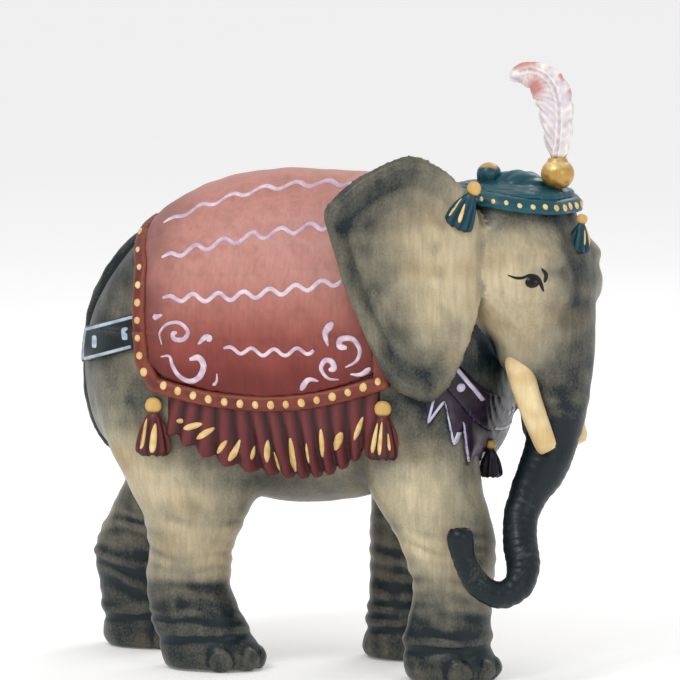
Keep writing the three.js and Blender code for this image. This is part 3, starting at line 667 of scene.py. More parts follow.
def puff(x, z, centre, radii, tilt=0.0):
    """A soft round patch seen from the side, 1 at its middle; tilt is in degrees."""
    u, v = turned(x - centre[0], z - centre[1], math.radians(tilt))
    return np.exp(-((u / radii[0]) ** 2 + (v / radii[1]) ** 2))


# middle, half sizes, tilt and strength of each dark patch on the torso and the legs: airbrushed paint, and
# painted shade under the fringe, round the rear tassels and along the belly
BODY_SHADES = [
    ((-90, 126), (26, 30), 0, 1.9), ((-70, 142), (20, 15), 20, 1.4), ((-90, 92), (9, 26), 0, 0.8),
    ((-78, 104), (20, 7), 15, 0.75), ((-56, 90), (12, 9), 0, 0.85), ((-34, 71), (24, 9), -22, 0.75),
    ((-6, 62), (22, 6), 0, 0.75), ((20, 70), (12, 8), 30, 0.6), ((60, 92), (13, 30), 0, 1.3),
    ((36, 92), (22, 14), 0, 1.0), ((48, 118), (20, 34), 0, 1.2), ((-2, 51), (40, 5), 0, 0.7),
    ((57, 44), (7, 12), 0, 0.7), ((-78, 86), (11, 17), 0, 0.65), ((-62, 36), (5, 16), 0, 0.4),
    ((-52, 38), (7, 9), 30, 0.3),
]
BODY_LIGHTS = [((-48, 62), (17, 22)), ((36, 66), (13, 20)), ((-68, 84), (10, 14)), ((40, 46), (9, 12))]


def torso_and_leg_shade(x, y, z, drift, is_leg, is_torso):
    dark = sum(strength * puff(x, z, centre, radii, tilt) for centre, radii, tilt, strength in BODY_SHADES)
    dark = 1 - np.exp(-1.6 * dark)
    # the dark of the feet reaches higher on the far legs, painted shade on the side away from the light
    far_hind = (y > 0) & (x < -30)
    foot_line = np.where(far_hind, 36, 30) + 4 * drift + np.where(y > 0, 4, 0)
    feet = 1 - ramp(z, foot_line - 14, foot_line + 20)
    dark = np.where(is_leg, np.maximum(dark, feet), dark)
    # painted shade on the inner sides of the legs, under the belly
    inner = ramp(-np.abs(y), -20, -10) * ramp(-z, -68, -52)
    dark = np.where(is_leg, np.maximum(dark, 0.85 * inner), dark)
    # the underside of the belly is darkened, partly its dark paint and partly painted shade
    return np.where(is_torso, np.maximum(dark, 0.9 * ramp(-z, -58, -53.5)), dark)


def head_shade(x, y, z, drift):
    forward, left = in_head(x, y)
    aside = np.abs(left)
    face = (0.5 + 0.3 * ramp(z, 112, 135)) * ramp(forward + 2 * drift, 33, 46)
    # the lower face and the root of the trunk are darkened, partly their dark paint and partly painted shade
    # under the head
    lower = 1 - ramp(z + 0.35 * (30 - forward) + 3 * drift, 88, 119)
    crown = 0.85 * ramp(z + 2 * drift, 139, 152)
    # painted shade under the jaw and on the neck behind it
    jaw = 0.95 * (1 - ramp(forward + 0.75 * (z - 110) + 2 * drift, 10, 27))
    front = 0.5 * ramp(-aside, -15, -5)
    dark = 1 - (1 - face) * (1 - 0.92 * lower) * (1 - crown) * (1 - jaw) * (1 - front)
    cheek = np.exp(-(((forward - 26) / 13) ** 2 + ((z - 128) / 13) ** 2)) * ramp(aside, 9, 17)
    return dark * (1 - 0.75 * cheek), cheek


def ear_shade(ear, x, y, z, drift):
    back, out, height = ear_places(ear, x, y, z)
    share, _ = ear_share(back, height)
    rim = ramp(share + 0.05 * drift, 0.5, 0.95) * (0.2 + 0.5 * ramp(back + 0.5 * (height - 140), 12, 38))
    top = 0.68 * ramp(height + 0.25 * back + 2 * drift, 146, 170)
    tip = 0.8 * (1 - ramp(height + 2 * drift, 94, 124))
    middle = np.exp(-(((back - 9) / 9) ** 2 + ((height - 132) / 22) ** 2))
    veil = 0.6 * ramp(back + 0.2 * (128 - height), 10, 32)
    dark = 1 - (1 - rim) * (1 - top) * (1 - tip) * (1 - veil)
    dark = dark * (1 - 0.55 * middle)
    # the ear's back, which faces the head, is darkened as painted shade
    return np.maximum(dark, 0.85 * (1 - ramp(out, -4, -2))), middle


def wood_colours(points, part, cavity):
    """The light hide colour at each vertex, and how dark the spray and the painted shade over it are."""
    x, y, z = points.T
    drift = wobble(x, y, z, 38)
    is_part = {name: part == PARTS.index(name) for name in PARTS}
    is_leg = np.any([is_part[name] for name in PARTS if name.startswith("leg")], axis=0)
    dark = torso_and_leg_shade(x, y, z, drift, is_leg, is_part["torso"])
    glow = sum(puff(x, z, centre, radii) for centre, radii in BODY_LIGHTS)
    shade, cheek = head_shade(x, y, z, drift)
    dark = np.where(is_part["head"], shade, dark)
    glow = np.where(is_part["head"], 1.2 * cheek, glow)
    dark = np.where(is_part["trunk"], 1.2 + 0.1 * drift - 0.45 * ramp(z, 78, 98), dark)
    dark = np.where(is_part["tail"], 1.05, dark)
    for name, ear in EARS.items():
        shade, middle = ear_shade(ear, x, y, z, drift)
        dark = np.where(is_part[name], shade, dark)
        glow = np.where(is_part[name], 1.2 * middle, glow)
    # painted shade darkens the hide in its hollows, and a painted highlight lightens it a little on its ridges
    dark = dark + 1.0 * np.clip(cavity, -0.14, 0.5) + 0.05 * wobble(x, y, z * 0.5, 12)
    # the warm tone lies at random, and in the hollows as painted shade
    warm = 0.4 * ramp(drift, 0.1, 1.2) + 0.9 * np.clip(cavity, 0, 0.35)
    return coats(points, HIDE, (HIDE_LIGHT, 0.85 * glow), (HIDE_WARM, warm)), np.clip(dark, 0, 1.2)


def regions(points, part):
    """Which piece each place on the wood belongs to, by the glue joints of the CAD."""
    x, _, z = points.T
    slope = (NECK_FOOT[0] - NECK_TOP[0]) / (NECK_FOOT[1] - NECK_TOP[1])
    ahead = x > NECK_TOP[0] + slope * (z - NECK_TOP[1])
    number = {name: i for i, name in enumerate(PARTS)}
    result = part.copy()
    is_leg = np.isin(part, [number[name] for name in PARTS if name.startswith("leg")])
    result[is_leg & (z > JOINT_HEIGHT)] = number["torso"]
    result[(result == number["torso"]) & ahead & (z > NECK_FOOT[1])] = number["head"]
    result[(part == number["head"]) & ~ahead] = number["torso"]
    result[(part == number["head"]) & (z < TRUNK_JOINT_HEIGHT)] = number["trunk"]
    result[(part == number["trunk"]) & (z >= TRUNK_JOINT_HEIGHT)] = number["head"]
    return result


def wood_pieces(wood, material):
    """The surface of the wood, cut at the glue joints into one closed piece for each node."""
    points, quads = surface_net(wood.value, wood.low)
    points = relax(points, quads, 4)
    normals = normals_of(points, quads)
    cavity = cavities(points, quads, normals, 32)
    part = wood.nearest_part(points)
    colours, shade = wood_colours(points, part, cavity)
    middles = points[quads].mean(1)
    region = regions(middles, wood.nearest_part(middles))
    pieces = {}
    for number, name in enumerate(PARTS):
        faces = quads[region == number]
        used, where = np.unique(faces, return_inverse=True)
        piece = make_mesh(name + "_carved", points[used], where.reshape(faces.shape))
        set_paint(piece, colours[used])
        # the stored shade holds the airbrushed paint and the painted shade
        spray_and_shade_layer = piece.data.attributes.new("shade", "FLOAT", "POINT")
        spray_and_shade_layer.data.foreach_set("value", shade[used].astype(np.float32))
        whole = piece.data.attributes.new("whole_normal", "FLOAT_VECTOR", "POINT")
        whole.data.foreach_set("vector", normals[used].astype(np.float32).ravel())
        keep_largest(piece)
        close_openings(piece)
        shade_as_whole(piece)
        pieces[name] = settle(piece, material, "hide_paint", name)
    return pieces


def shade_as_whole(piece):
    """Shades each vertex as on the unbroken carving, so that no seam shows where pieces meet."""
    mesh = piece.data
    normals = np.zeros(len(mesh.vertices) * 3, np.float32)
    mesh.attributes["whole_normal"].data.foreach_get("vector", normals)
    mesh.attributes.remove(mesh.attributes["whole_normal"])
    mesh.normals_split_custom_set_from_vertices(normals.reshape(-1, 3).tolist())


def keep_largest(piece):
    """Drops stray islands, keeping the biggest run of connected faces."""
    shape = bmesh.new()
    shape.from_mesh(piece.data)
    islands, seen = [], set()
    for start in shape.faces:
        if start in seen:
            continue
        seen.add(start)
        island = [start]
        for face in island:
            fresh = {other for edge in face.edges for other in edge.link_faces} - seen
            seen |= fresh
            island += fresh
        islands.append(island)
    for island in sorted(islands, key=len)[:-1]:
        bmesh.ops.delete(shape, geom=island, context="FACES")
    shape.to_mesh(piece.data)
    shape.free()


# ---- materials ----


class Graph:
    """Short ways to add and join the nodes of a material or a world."""

    def __init__(self, owner):
        owner.use_nodes = True
        self.tree = owner.node_tree

    def fill(self, node, inputs):
        """Sets each named input to a value, or joins it to another node's output."""
        for name, value in inputs.items():
            if isinstance(value, bpy.types.NodeSocket):
                self.tree.links.new(value, node.inputs[name])
            else:
                node.inputs[name].default_value = value

    def add(self, kind, inputs, output, **settings):
        """A new node of that kind, and of it the wanted output."""
        node = self.tree.nodes.new(kind)
        for name, value in settings.items():
            setattr(node, name, value)
        self.fill(node, inputs)
        return node.outputs[output]

    def noise(self, scale, stretch=(1, 1, 1), detail=2):
        place = self.add("ShaderNodeTexCoord", {}, "Object")
        squeezed = self.add("ShaderNodeMapping", {"Vector": place, "Scale": stretch}, "Vector")
        return self.add("ShaderNodeTexNoise", {"Vector": squeezed, "Scale": scale, "Detail": detail}, "Fac")

    def spread(self, source, low, high, to_low, to_high):
        ends = {"From Min": low, "From Max": high, "To Min": to_low, "To Max": to_high}
        return self.add("ShaderNodeMapRange", {"Value": source, **ends}, "Result")

    def times(self, colour, factor):
        return self.add("ShaderNodeVectorMath", {0: colour, "Scale": factor}, "Vector", operation="SCALE")

    def plus(self, a, b):
        return self.add("ShaderNodeMath", {0: a, 1: b}, "Value", operation="ADD")

    def stored(self, name, output):
        """What a piece keeps at its vertices under that name."""
        return self.add("ShaderNodeAttribute", {}, output, attribute_name=name)

    def tones(self, factor, *stops):
        """A run of colours along the factor, each stop being a place and a paint card's colour."""
        result = self.add("ShaderNodeValToRGB", {"Fac": factor}, "Color")
        run = result.node.color_ramp.elements
        while len(run) < len(stops):
            run.new(0.5)
        for element, (position, colour) in zip(run, stops):
            element.position = position
            element.color = (*linear(colour), 1)
        return result


def new_material(name, **inputs):
    material = bpy.data.materials.new(name)
    graph = Graph(material)
    shader = material.node_tree.nodes["Principled BSDF"]
    graph.fill(shader, inputs)
    return material, graph, shader


def spray_and_painted_shade(graph, base):
    """Dark airbrushed paint and painted shade, as stored at the vertices, thinning out into specks, from blue
    mist to almost black.
    """
    mottle = graph.plus(graph.noise(1500, (1, 1, 0.8), 5), graph.noise(190, (1, 1, 0.5), 3))
    total = graph.plus(graph.stored("shade", "Fac"), graph.spread(mottle, 0.6, 1.4, -0.14, 0.14))
    cover = graph.spread(total, 0.08, 0.98, 0, 1)
    tone = graph.tones(cover, (0.1, MIST), (0.62, SHADE), (1, SHADE_DEEP))
    return graph.add("ShaderNodeMix", {"Factor": cover, "A": base, "B": tone}, "Result", data_type="RGBA")


def painted(name, grain, speckle, roughness, bump, metal=0.0, with_spray_and_shade=False):
    """Brushed, varnished paint over carved wood; its broad colours come from the piece's own paint layer."""
    material, graph, shader = new_material(name, **{
        "Metallic": metal, "Coat Weight": 0.1, "Coat Roughness": 0.28, "Specular IOR Level": 0.3,
    })
    fibres = graph.noise(900, (1, 1, 0.09), 3)
    dabs = graph.noise(260, (1, 1, 0.45), 4)
    specks = graph.noise(2600)
    colour = graph.stored("paint", "Color")
    # for the hide, the stored airbrushed paint and painted shade are laid over the paint colour
    if with_spray_and_shade:
        colour = spray_and_painted_shade(graph, colour)
    colour = graph.times(colour, graph.spread(fibres, 0.3, 0.7, 1 - 0.16 * grain, 1 + 0.14 * grain))
    colour = graph.times(colour, graph.spread(dabs, 0.3, 0.7, 1 - 0.18 * grain, 1 + 0.16 * grain))
    colour = graph.times(colour, graph.spread(specks, 0.58, 0.72, 1, 1 - 0.3 * speckle))
    relief = graph.add("ShaderNodeBump", {"Strength": bump, "Distance": 0.0004, "Height": fibres}, "Normal")
    gloss = graph.spread(dabs, 0.3, 0.7, roughness - 0.07, roughness + 0.1)
    graph.fill(shader, {"Base Color": colour, "Roughness": gloss, "Normal": relief})
    return material


def raw_wood(name):
    """Pale turned beech, for the dowels that join the pieces."""
    material, graph, shader = new_material(name, Roughness=0.62)
    grain = graph.noise(700, (1, 1, 0.08), 4)
    graph.fill(shader, {"Base Color": graph.tones(grain, (0, 0xB98F58), (1, 0xE0C294))})
    return material


# ---- pieces that lie on the wood ----


def polygon_distance(corners, x, z):
    """Signed distance from places in the X-Z plane to a closed outline, negative inside."""
    p = np.array(corners, float)
    q = np.roll(p, -1, axis=0)
    best = np.full(np.broadcast(x, z).shape, 1e9)
    crossing = np.zeros(best.shape, bool)
    for (ax, az), (bx, bz) in zip(p, q):
        ex, ez = bx - ax, bz - az
        length = ex * ex + ez * ez
        if length < 1e-9:
            continue
        t = np.clip(((x - ax) * ex + (z - az) * ez) / length, 0, 1)
        best = np.minimum(best, (x - ax - t * ex) ** 2 + (z - az - t * ez) ** 2)
        if abs(ez) > 1e-9:
            between = (az > z) != (bz > z)
            crossing ^= between & (x < ax + (z - az) * ex / ez)
    best = np.sqrt(best)
    return np.where(crossing, -best, best)


def curve_points(start, control, end, count=24):
    t = np.linspace(0, 1, count)[:, None]
    a, b, c = (np.array(p, float) for p in (start, control, end))
    return (1 - t) ** 2 * a + 2 * t * (1 - t) * b + t * t * c


BLANKET_THICK = 2.4
BORDER_WIDTH = 5.0
REAR_EDGE = [(-67.5, 172), (-66.2, 142), (-61.9, 132), (-60.6, 114), (-58.4, 101)]
FRONT_EDGE = [(26.8, 112), (25.5, 172)]
HEM_START, HEM_SAG, HEM_END = (-53, 92.4), (-12, 79.5), (27.5, 95.6)


def blanket_outline(inset):
    rear = [(x + inset, z) for x, z in REAR_EDGE]
    front = [(x - inset, z) for x, z in FRONT_EDGE]
    hem = curve_points(
        (HEM_START[0] + inset, HEM_START[1] + inset), (HEM_SAG[0], HEM_SAG[1] + inset),
        (HEM_END[0] - inset, HEM_END[1] + inset),
    )
    return rear + [tuple(p) for p in hem] + front


def lying_on(field, low, high, shape):
    """The mesh of a shape on the wood; shape(x, y, z, away) gives distances, away being from the wood."""
    window = field.window(low, high)
    x, y, z = field.places(window)
    value = shape(x, y, z, field.value[window]).astype(np.float32)
    for axis in range(3):
        for end in (0, -1):
            edge = [slice(None)] * 3
            edge[axis] = end
            value[tuple(edge)] = STEP
    points, quads = surface_net(value, np.array([x.min(), y.min(), z.min()], float))
    return relax(points, quads, 4), quads


EMBED = 0.9                            # depth at which the inner face of each piece of dress lies in the wood
ROSE_TOP = 0xBE857A
ROSE = 0x93493F
PLUM = 0x5A2F30
MAROON = 0x681F1A
MAROON_DEEP = 0x3A1618


def blanket_colours(points, normals, cavity):
    x, y, z = points.T
    drift = wobble(x, y, z, 34)
    fine = wobble(x * 1.3, y, z * 1.3, 10)
    up = ramp(z, 104, 136)
    low = 1 - ramp(z + 4 * drift, 88, 120)
    edge = np.minimum(x + 62 - 4 * ramp(z, 120, 140), 27 - x)
    near_edge = 1 - ramp(edge + 3 * drift, 0, 20)
    # the last layer darkens the blanket a little at random, and in its hollows as painted shade
    return coats(
        points, ROSE, (ROSE_TOP, 0.95 * up), (MAROON, 0.96 * low),
        (PLUM, 0.9 * near_edge * ramp(-x, 20, 50) * (1 - 0.4 * up)), (MAROON, 0.55 * near_edge * (1 - up)),
        (MAROON_DEEP, 0.5 * near_edge * low), (MAROON_DEEP, np.clip(0.12 * fine + 1.2 * cavity, 0, 0.6)),
    )


def cavities(points, quads, normals, rounds=20):
    """How deep each place lies under the smoothed surface, in millimetres; negative on ridges."""
    soft = relax(points, quads, rounds, hold=0)
    return np.einsum("ij,ij->i", soft - points, normals)


def laid_piece(node, field, low, high, shape, colours, material, slot):
    """The piece for a node whose shape lies on the wood."""
    return dress_piece(node, lying_on(field, low, high, shape), colours, material, slot)


def dress_piece(node, net, colours, material, slot):
    """The piece that stands for a node; colours(points, normals, cavity) gives its paint."""
    points, quads = net
    normals = normals_of(points, quads)
    piece = make_mesh(node + "_carved", points, quads)
    set_paint(piece, colours(points, normals, cavities(points, quads, normals)))
    keep_largest(piece)
    return settle(piece, material, slot, node)


def layer(inner, outer, *limits):
    """Distances for what lies between two depths over the wood and inside every given limit."""
    return functools.reduce(np.maximum, limits, np.maximum(outer, -inner))


def saddle_blanket(field, material):
    def shape(x, y, z, away):
        outline = polygon_distance(blanket_outline(BORDER_WIDTH - 0.4), x, z)
        soft = 0.35 * wobble(x, y * 0.4, z, 30)
        return layer(away + EMBED, away - BLANKET_THICK - soft, outline)

    low, high = (-72, -44, 80), (32, 44, 170)
    return laid_piece("saddle_blanket", field, low, high, shape, blanket_colours, material, "cloth_paint")


def blanket_border(field, material):
    def shape(x, y, z, away):
        outer = polygon_distance(blanket_outline(0), x, z)
        across = np.abs(outer + BORDER_WIDTH / 2) / (BORDER_WIDTH / 2)
        roll = 0.5 + 1.5 * np.sqrt(np.maximum(1 - np.minimum(across, 1) ** 2, 0))
        band = np.abs(outer + BORDER_WIDTH / 2) - BORDER_WIDTH / 2
        return layer(away + EMBED, away - BLANKET_THICK - roll + 0.2, band)

    def colours(points, normals, cavity):
        drift = wobble(*points.T, 16)
        # the crest of the rolled border is painted lighter as highlight; the border is darkened a little all
        # over, at random, and in its hollows as painted shade
        tint_amount = 0.5 * ramp(-cavity, 0.02, 0.3)
        deep = np.clip(0.35 + 0.35 * drift + 2.4 * cavity, 0, 0.85)
        return coats(points, 0x6F2C26, (MAROON_DEEP, deep), (0x94503A, tint_amount))

    low, high = (-73, -44, 80), (32, 44, 172)
    return laid_piece("blanket_border", field, low, high, shape, colours, material, "border_paint")


FRINGE = dict(start=-46.0, end=22.5, lowest=64.5, middle=-5.0, rise=14.0, folds=13)


def fringe_hem(x):
    aside = x - FRINGE["middle"]
    reach = np.where(aside > 0, FRINGE["end"] - FRINGE["middle"], FRINGE["middle"] - FRINGE["start"])
    return FRINGE["lowest"] + FRINGE["rise"] * (aside / reach) ** 2


def fold_phase(x, z):
    """Counts the folds of the fringe, which fan out slightly from the hem above."""
    fan = (x - FRINGE["middle"]) / (1 + 0.0045 * (92 - z)) + FRINGE["middle"]
    slant = 0.16 * (86 - z) * np.sin((x - 4) / 13)
    return (fan + slant - FRINGE["start"]) / (FRINGE["end"] - FRINGE["start"]) * FRINGE["folds"]


def fringe(field, side, name, material):
    def shape(x, y, z, away):
        top = np.array(curve_points(HEM_START, HEM_SAG, HEM_END, 30))
        under = z - np.interp(x, top[:, 0], top[:, 1]) - 0.6
        fold = np.abs(np.sin(math.pi * fold_phase(x, z)))
        bottom = fringe_hem(x) - 2.4 * fold + 1.6 - z
        sides = np.maximum(FRINGE["start"] - 1 - x, x - FRINGE["end"] - 1) * 0.9
        drop = ramp(-z, -88, -70)
        thick = 0.9 + (0.9 + 1.5 * drop) * fold ** 1.5
        return layer(away + EMBED, (away - thick) * 0.8, under, bottom * 0.8, sides, 4 - side * y)

    def colours(points, normals, cavity):
        x, y, z = points.T
        fold = np.abs(np.sin(math.pi * fold_phase(x, z)))
        # the troughs between the folds are painted dark, almost black, as shade, the hollows darker still, and
        # the crests of the upper folds are painted lighter as highlight
        return coats(
            points, 0x64262A, (MAROON_DEEP, 0.95 * np.clip(1.15 - 1.3 * fold + 1.5 * cavity, 0, 1)),
            (0x200A0B, np.clip(0.8 - 2.4 * fold, 0, 0.8)),
            (0x7E3A36, 0.45 * ramp(fold, 0.8, 1) * ramp(z, 66, 86)),
        )

    low = (-50, min(side * 3, side * 46), 58)
    high = (27, max(side * 3, side * 46), 95)
    return laid_piece(name, field, low, high, shape, colours, material, "fringe_paint")


STRAP = [(-52, 118.9), (-96, 106.5), (-96, 95), (-52, 107.4)]
COLLAR = [
    (37, 112), (46, 105.5), (55, 93.5), (66, 82), (66, 72), (54, 81), (49.6, 89.3), (43, 98.6), (36, 102.9),
]
PENDANTS = [
    (36, 103.3), (43, 99), (49.6, 89.8), (54, 81.4), (66, 72), (66, 60), (54.6, 73), (53.6, 78), (52.4, 69.5),
    (50, 83.8), (48.2, 75.6), (45, 91), (40.4, 82.8), (38, 98),
]


def harness_colours(base, light, deep, length, share):
    """Mottled paint of about that length of mottle, with painted shade in the hollows."""
    def colours(points, normals, cavity):
        mottle = np.clip(0.3 + share * wobble(*points.T, length), 0, 0.8)
        return coats(points, base, (light, mottle), (deep, np.clip(2 * cavity, 0, 0.7)))
    return colours


STRAP_COLOURS = harness_colours(0x0C1216, 0x152A2E, 0x0A0E12, 9, 0.4)
COLLAR_COLOURS = harness_colours(0x18141F, 0x38273E, 0x0D0C14, 8, 0.45)


def harness_piece(field, name, outline, thick, low, high, colours, material, slot):
    def shape(x, y, z, away):
        edge = polygon_distance(outline, x, z)
        crown = 0.3 * np.sqrt(np.clip(-edge / 2.5, 0, 1))
        return layer(away + EMBED, away - thick - crown, edge)

    return laid_piece(name, field, low, high, shape, colours, material, slot)


# ---- turned and swept pieces ----


def rings_mesh(rings, tip_start, tip_end):
    """A closed body through rings of equal length, ended by a point at each end."""
    count = len(rings[0])
    points = np.vstack([np.array(rings).reshape(-1, 3), [tip_start], [tip_end]])
    start, end, last = len(points) - 2, len(points) - 1, (len(rings) - 1) * count
    faces = []
    for i in range(count):
        j = (i + 1) % count
        faces += [(a + i, a + j, a + count + j, a + count + i) for a in range(0, last, count)]
        faces += [(start, j, i), (end, last + i, last + j)]
    return points, faces


def finish_piece(name, mesh, colour, material, slot, *nodes):
    piece = make_mesh(name, *mesh)
    set_paint(piece, colour)
    bm = bmesh.new()
    bm.from_mesh(piece.data)
    bmesh.ops.recalc_face_normals(bm, faces=bm.faces)
    bm.to_mesh(piece.data)
    bm.free()
    return settle(piece, material, slot, *nodes)


def tusk(side, name, material):
    set_back = LEFT_TUSK_SET_BACK if side == LEFT else 0
    rows = spline(TUSK_POINTS, 6)
    centres = np.array([(*from_head(row[0] - set_back, side * row[1]), row[2]) for row in rows])
    angles = np.linspace(0, 2 * math.pi, 28, endpoint=False)[:, None]
    rings = []
    for i, (centre, row) in enumerate(zip(centres, rows)):
        along = centres[min(i + 1, len(rows) - 1)] - centres[max(i - 1, 0)]
        along /= np.linalg.norm(along)
        one = np.cross(along, (0, 1, 0))
        one /= np.linalg.norm(one)
        rings.append(centre + row[3] * (np.cos(angles) * one + np.sin(angles) * np.cross(along, one)))
    points, faces = rings_mesh(rings, centres[0], centres[-1] + (centres[-1] - centres[-2]) * 0.6)
    z = points[:, 2]
    drift = wobble(*points.T, 16)
    # the tusk turns yellower at random and towards its tip; the dark brown at its root, under the lip, is
    # painted shade
    tint_amount = np.clip(0.5 * ramp(drift, -0.2, 1) + 0.5 * (1 - ramp(z, 74, 82)), 0, 1)
    colour = coats(points, 0xE6CFA0, (0xC9A467, tint_amount), (0x8A6233, 0.8 * ramp(z, 100, 110)))
    return finish_piece(name + "_carved", (points, faces), colour, material, "tusk_paint", name)


# drop below the knot's middle, half width
TASSEL_ROWS = [
    (-2.6, 0.6), (-2.3, 1.5), (-1.4, 2.4), (0, 2.8), (1.2, 2.5), (1.9, 2.0), (2.5, 1.7), (3.1, 2.1),
    (4, 2.7), (6, 3.5), (8, 4.2), (10.5, 4.9), (13, 5.4), (14.6, 5.5), (15.6, 5.2), (16.1, 4.2), (15.9, 2.6),
]
TASSEL_SIDES = 72


def tassel(name, top, scale, flat, lean, cloth, knot, material, slot, heading=0.0, flutes=9):
    """A round knot over a fluted skirt; lean tips it and heading turns it about the vertical."""
    rows = spline(TASSEL_ROWS, 3)
    angles = np.linspace(0, 2 * math.pi, TASSEL_SIDES, endpoint=False)
    rings = []
    for drop, half in rows:
        skirt = ramp(drop, 3, 9)
        wave = 1 + 0.085 * skirt * np.cos(flutes * angles) + 0.03 * skirt * np.cos(2 * flutes * angles + 1)
        height = 0.35 * skirt * np.cos(flutes * angles) - drop
        ring = np.stack([half * wave * np.cos(angles), half * flat * wave * np.sin(angles), height], 1)
        rings.append(ring * scale)
    points, faces = rings_mesh(rings, (0, 0, 2.7 * scale), (0, 0, -15.2 * scale))
    drops = np.append(np.repeat(rows[:, 0], TASSEL_SIDES), [-2.7, 15.5])
    angle = np.arctan2(points[:, 1], points[:, 0] * flat)
    x, z = turned(points[:, 0], points[:, 2], math.radians(lean))
    x, y = turned(x, points[:, 1], -heading)
    points = np.stack([x, y, z], 1) + np.array(top)
    # the grooves of the skirt and its lower end are painted in the darker cloth colour as shade, and the dark
    # band in the crease under the knot is painted shade too
    groove = ramp(-np.cos(flutes * angle), -0.1, 1) * ramp(drops, 3, 6)
    colour = coats(
        points, cloth[0], (cloth[1], 0.9 * groove), (cloth[1], 0.7 * ramp(drops, 14.4, 16)),
        (knot, 1 - ramp(drops, 1.7, 2.2)), (0x5C4020, 0.65 * np.exp(-((drops - 2.1) / 0.5) ** 2)),
    )
    return finish_piece(name + "_carved", (points, faces), colour, material, slot, name)


# ---- head dress ----

CAP_RIM = dict(front=41.0, height=150.5, slope=0.16, width=4.6, rise=0.8)
CAP_THICK = 1.5
BEAD = dict(forward=34.3, height=163.6, radius=5.4)
CREST = dict(forward=20.0, height=158.6, length=10.0, width=8.0, rise=5.4)
KNOB = dict(forward=11.5, aside=-4.0, height=163.0, radius=4.0)
TEAL = 0x0D4450
TEAL_LIGHT = 0x1D6670
TEAL_DEEP = 0x041E26


def above_rim(x, y, z):
    """Height over the cap's lower edge, which is lowest at the forehead."""
    forward, _ = in_head(x, y)
    return z - CAP_RIM["height"] - CAP_RIM["slope"] * (CAP_RIM["front"] - forward)


def teal_colours(points, normals, cavity):
    # the teal is lighter at random and on the ridges, a painted highlight, and darker on faces turned down and
    # in the hollows, painted shade
    light = np.clip(0.3 * ramp(wobble(*points.T, 9), 0, 1) + 1.2 * np.clip(-cavity, 0, 0.3), 0, 0.7)
    deep = np.clip(0.35 - 0.4 * normals[:, 2] + 1.8 * cavity, 0, 0.85)
    return coats(points, TEAL, (TEAL_LIGHT, light), (TEAL_DEEP, deep))


def head_cap(field, material):
    def shape(x, y, z, away):
        ridges = 0.25 * np.sin(1.7 * in_head(x, y)[1]) * ramp(z, 156, 160)
        return layer(away + EMBED, away - CAP_THICK - ridges, CAP_RIM["width"] - 0.4 - above_rim(x, y, z))

    low, high = (22, -36, 146), (90, 34, 170)
    return laid_piece("head_cap", field, low, high, shape, teal_colours, material, "cap_paint")


def cap_rim(field, material):
    def shape(x, y, z, away):
        up = above_rim(x, y, z)
        middle = CAP_RIM["width"] / 2
        roll = CAP_RIM["rise"] + 0.9 * np.sqrt(np.clip(1 - ((up - middle) / middle) ** 2, 0, 1))
        return layer(away + EMBED, away - CAP_THICK - roll + 0.5, np.abs(up - middle) - middle)

    low, high = (22, -38, 144), (92, 36, 168)
    return laid_piece("cap_rim", field, low, high, shape, teal_colours, material, "cap_paint")


def field_piece(name, low, high, shape, colours, material, slot, step=0.5, rounds=3):
    """A piece of its own small field, not lying on the wood."""
    lines = [np.arange(low[i], high[i] + step, step) for i in range(3)]
    x, y, z = np.meshgrid(*lines, indexing="ij", sparse=True)
    value = shape(x, y, z)
    points, quads = surface_net(value, np.array(low, float), step)
    net = relax(points, quads, rounds), quads
    return dress_piece(name, net, colours, material, slot)


def cap_crest(material):
    x, y = from_head(CREST["forward"], 0)

    def shape(a, b, c):
        radii = (CREST["length"], CREST["width"], CREST["rise"])
        dome = ball(a, b, c, (x, y, CREST["height"]), radii, HEAD_YAW)
        forward, left = in_head(a, b)
        rope = 0.45 * np.abs(np.sin(0.55 * (forward + 0.6 * np.abs(left))))
        return np.maximum(dome - rope, 153.5 - c)

    return field_piece("cap_crest", (x - 13, y - 11, 152), (x + 13, y + 11, 168), shape, teal_colours,
                       material, "cap_paint")


def gilt_colours(points, normals, cavity):
    # the gold is painted lighter on faces turned up, a painted highlight, and darker on faces turned down and in
    # the hollows, painted shade
    drift = wobble(*points.T, 5)
    light = np.clip(0.9 * ramp(normals[:, 2] + 0.3 * drift, 0.25, 1), 0, 0.85)
    deep = np.clip(0.75 * ramp(-normals[:, 2] + 0.4 * drift, 0.1, 0.9) + cavity, 0, 0.9)
    return coats(points, 0xC39B53, (0xEBD59A, light), (0x5E4420, deep))


def cap_knob(material):
    x, y = from_head(KNOB["forward"], KNOB["aside"])

    def shape(a, b, c):
        stem = np.sqrt((a - x) ** 2 + (b - y) ** 2) - 3.1 - 0.25 * (KNOB["height"] - c)
        top = ball(a, b, c, (x, y, KNOB["height"]), (KNOB["radius"], KNOB["radius"], KNOB["radius"] * 0.95))
        post = np.maximum(stem, np.maximum(c - KNOB["height"] + 0.6, 156 - c))
        return blend(top, post, 1.2)

    def colours(points, normals, cavity):
        colour = teal_colours(points, normals, cavity)
        gold = ramp(points[:, 2] + 0.5 * wobble(*points.T, 5), KNOB["height"] + 1.6, KNOB["height"] + 2.4)
        return mix(colour, 0xC9A160, 0.9 * gold)

    return field_piece("cap_knob", (x - 6.5, y - 6.5, 155), (x + 6.5, y + 6.5, 169), shape, colours,
                       material, "gold_paint")


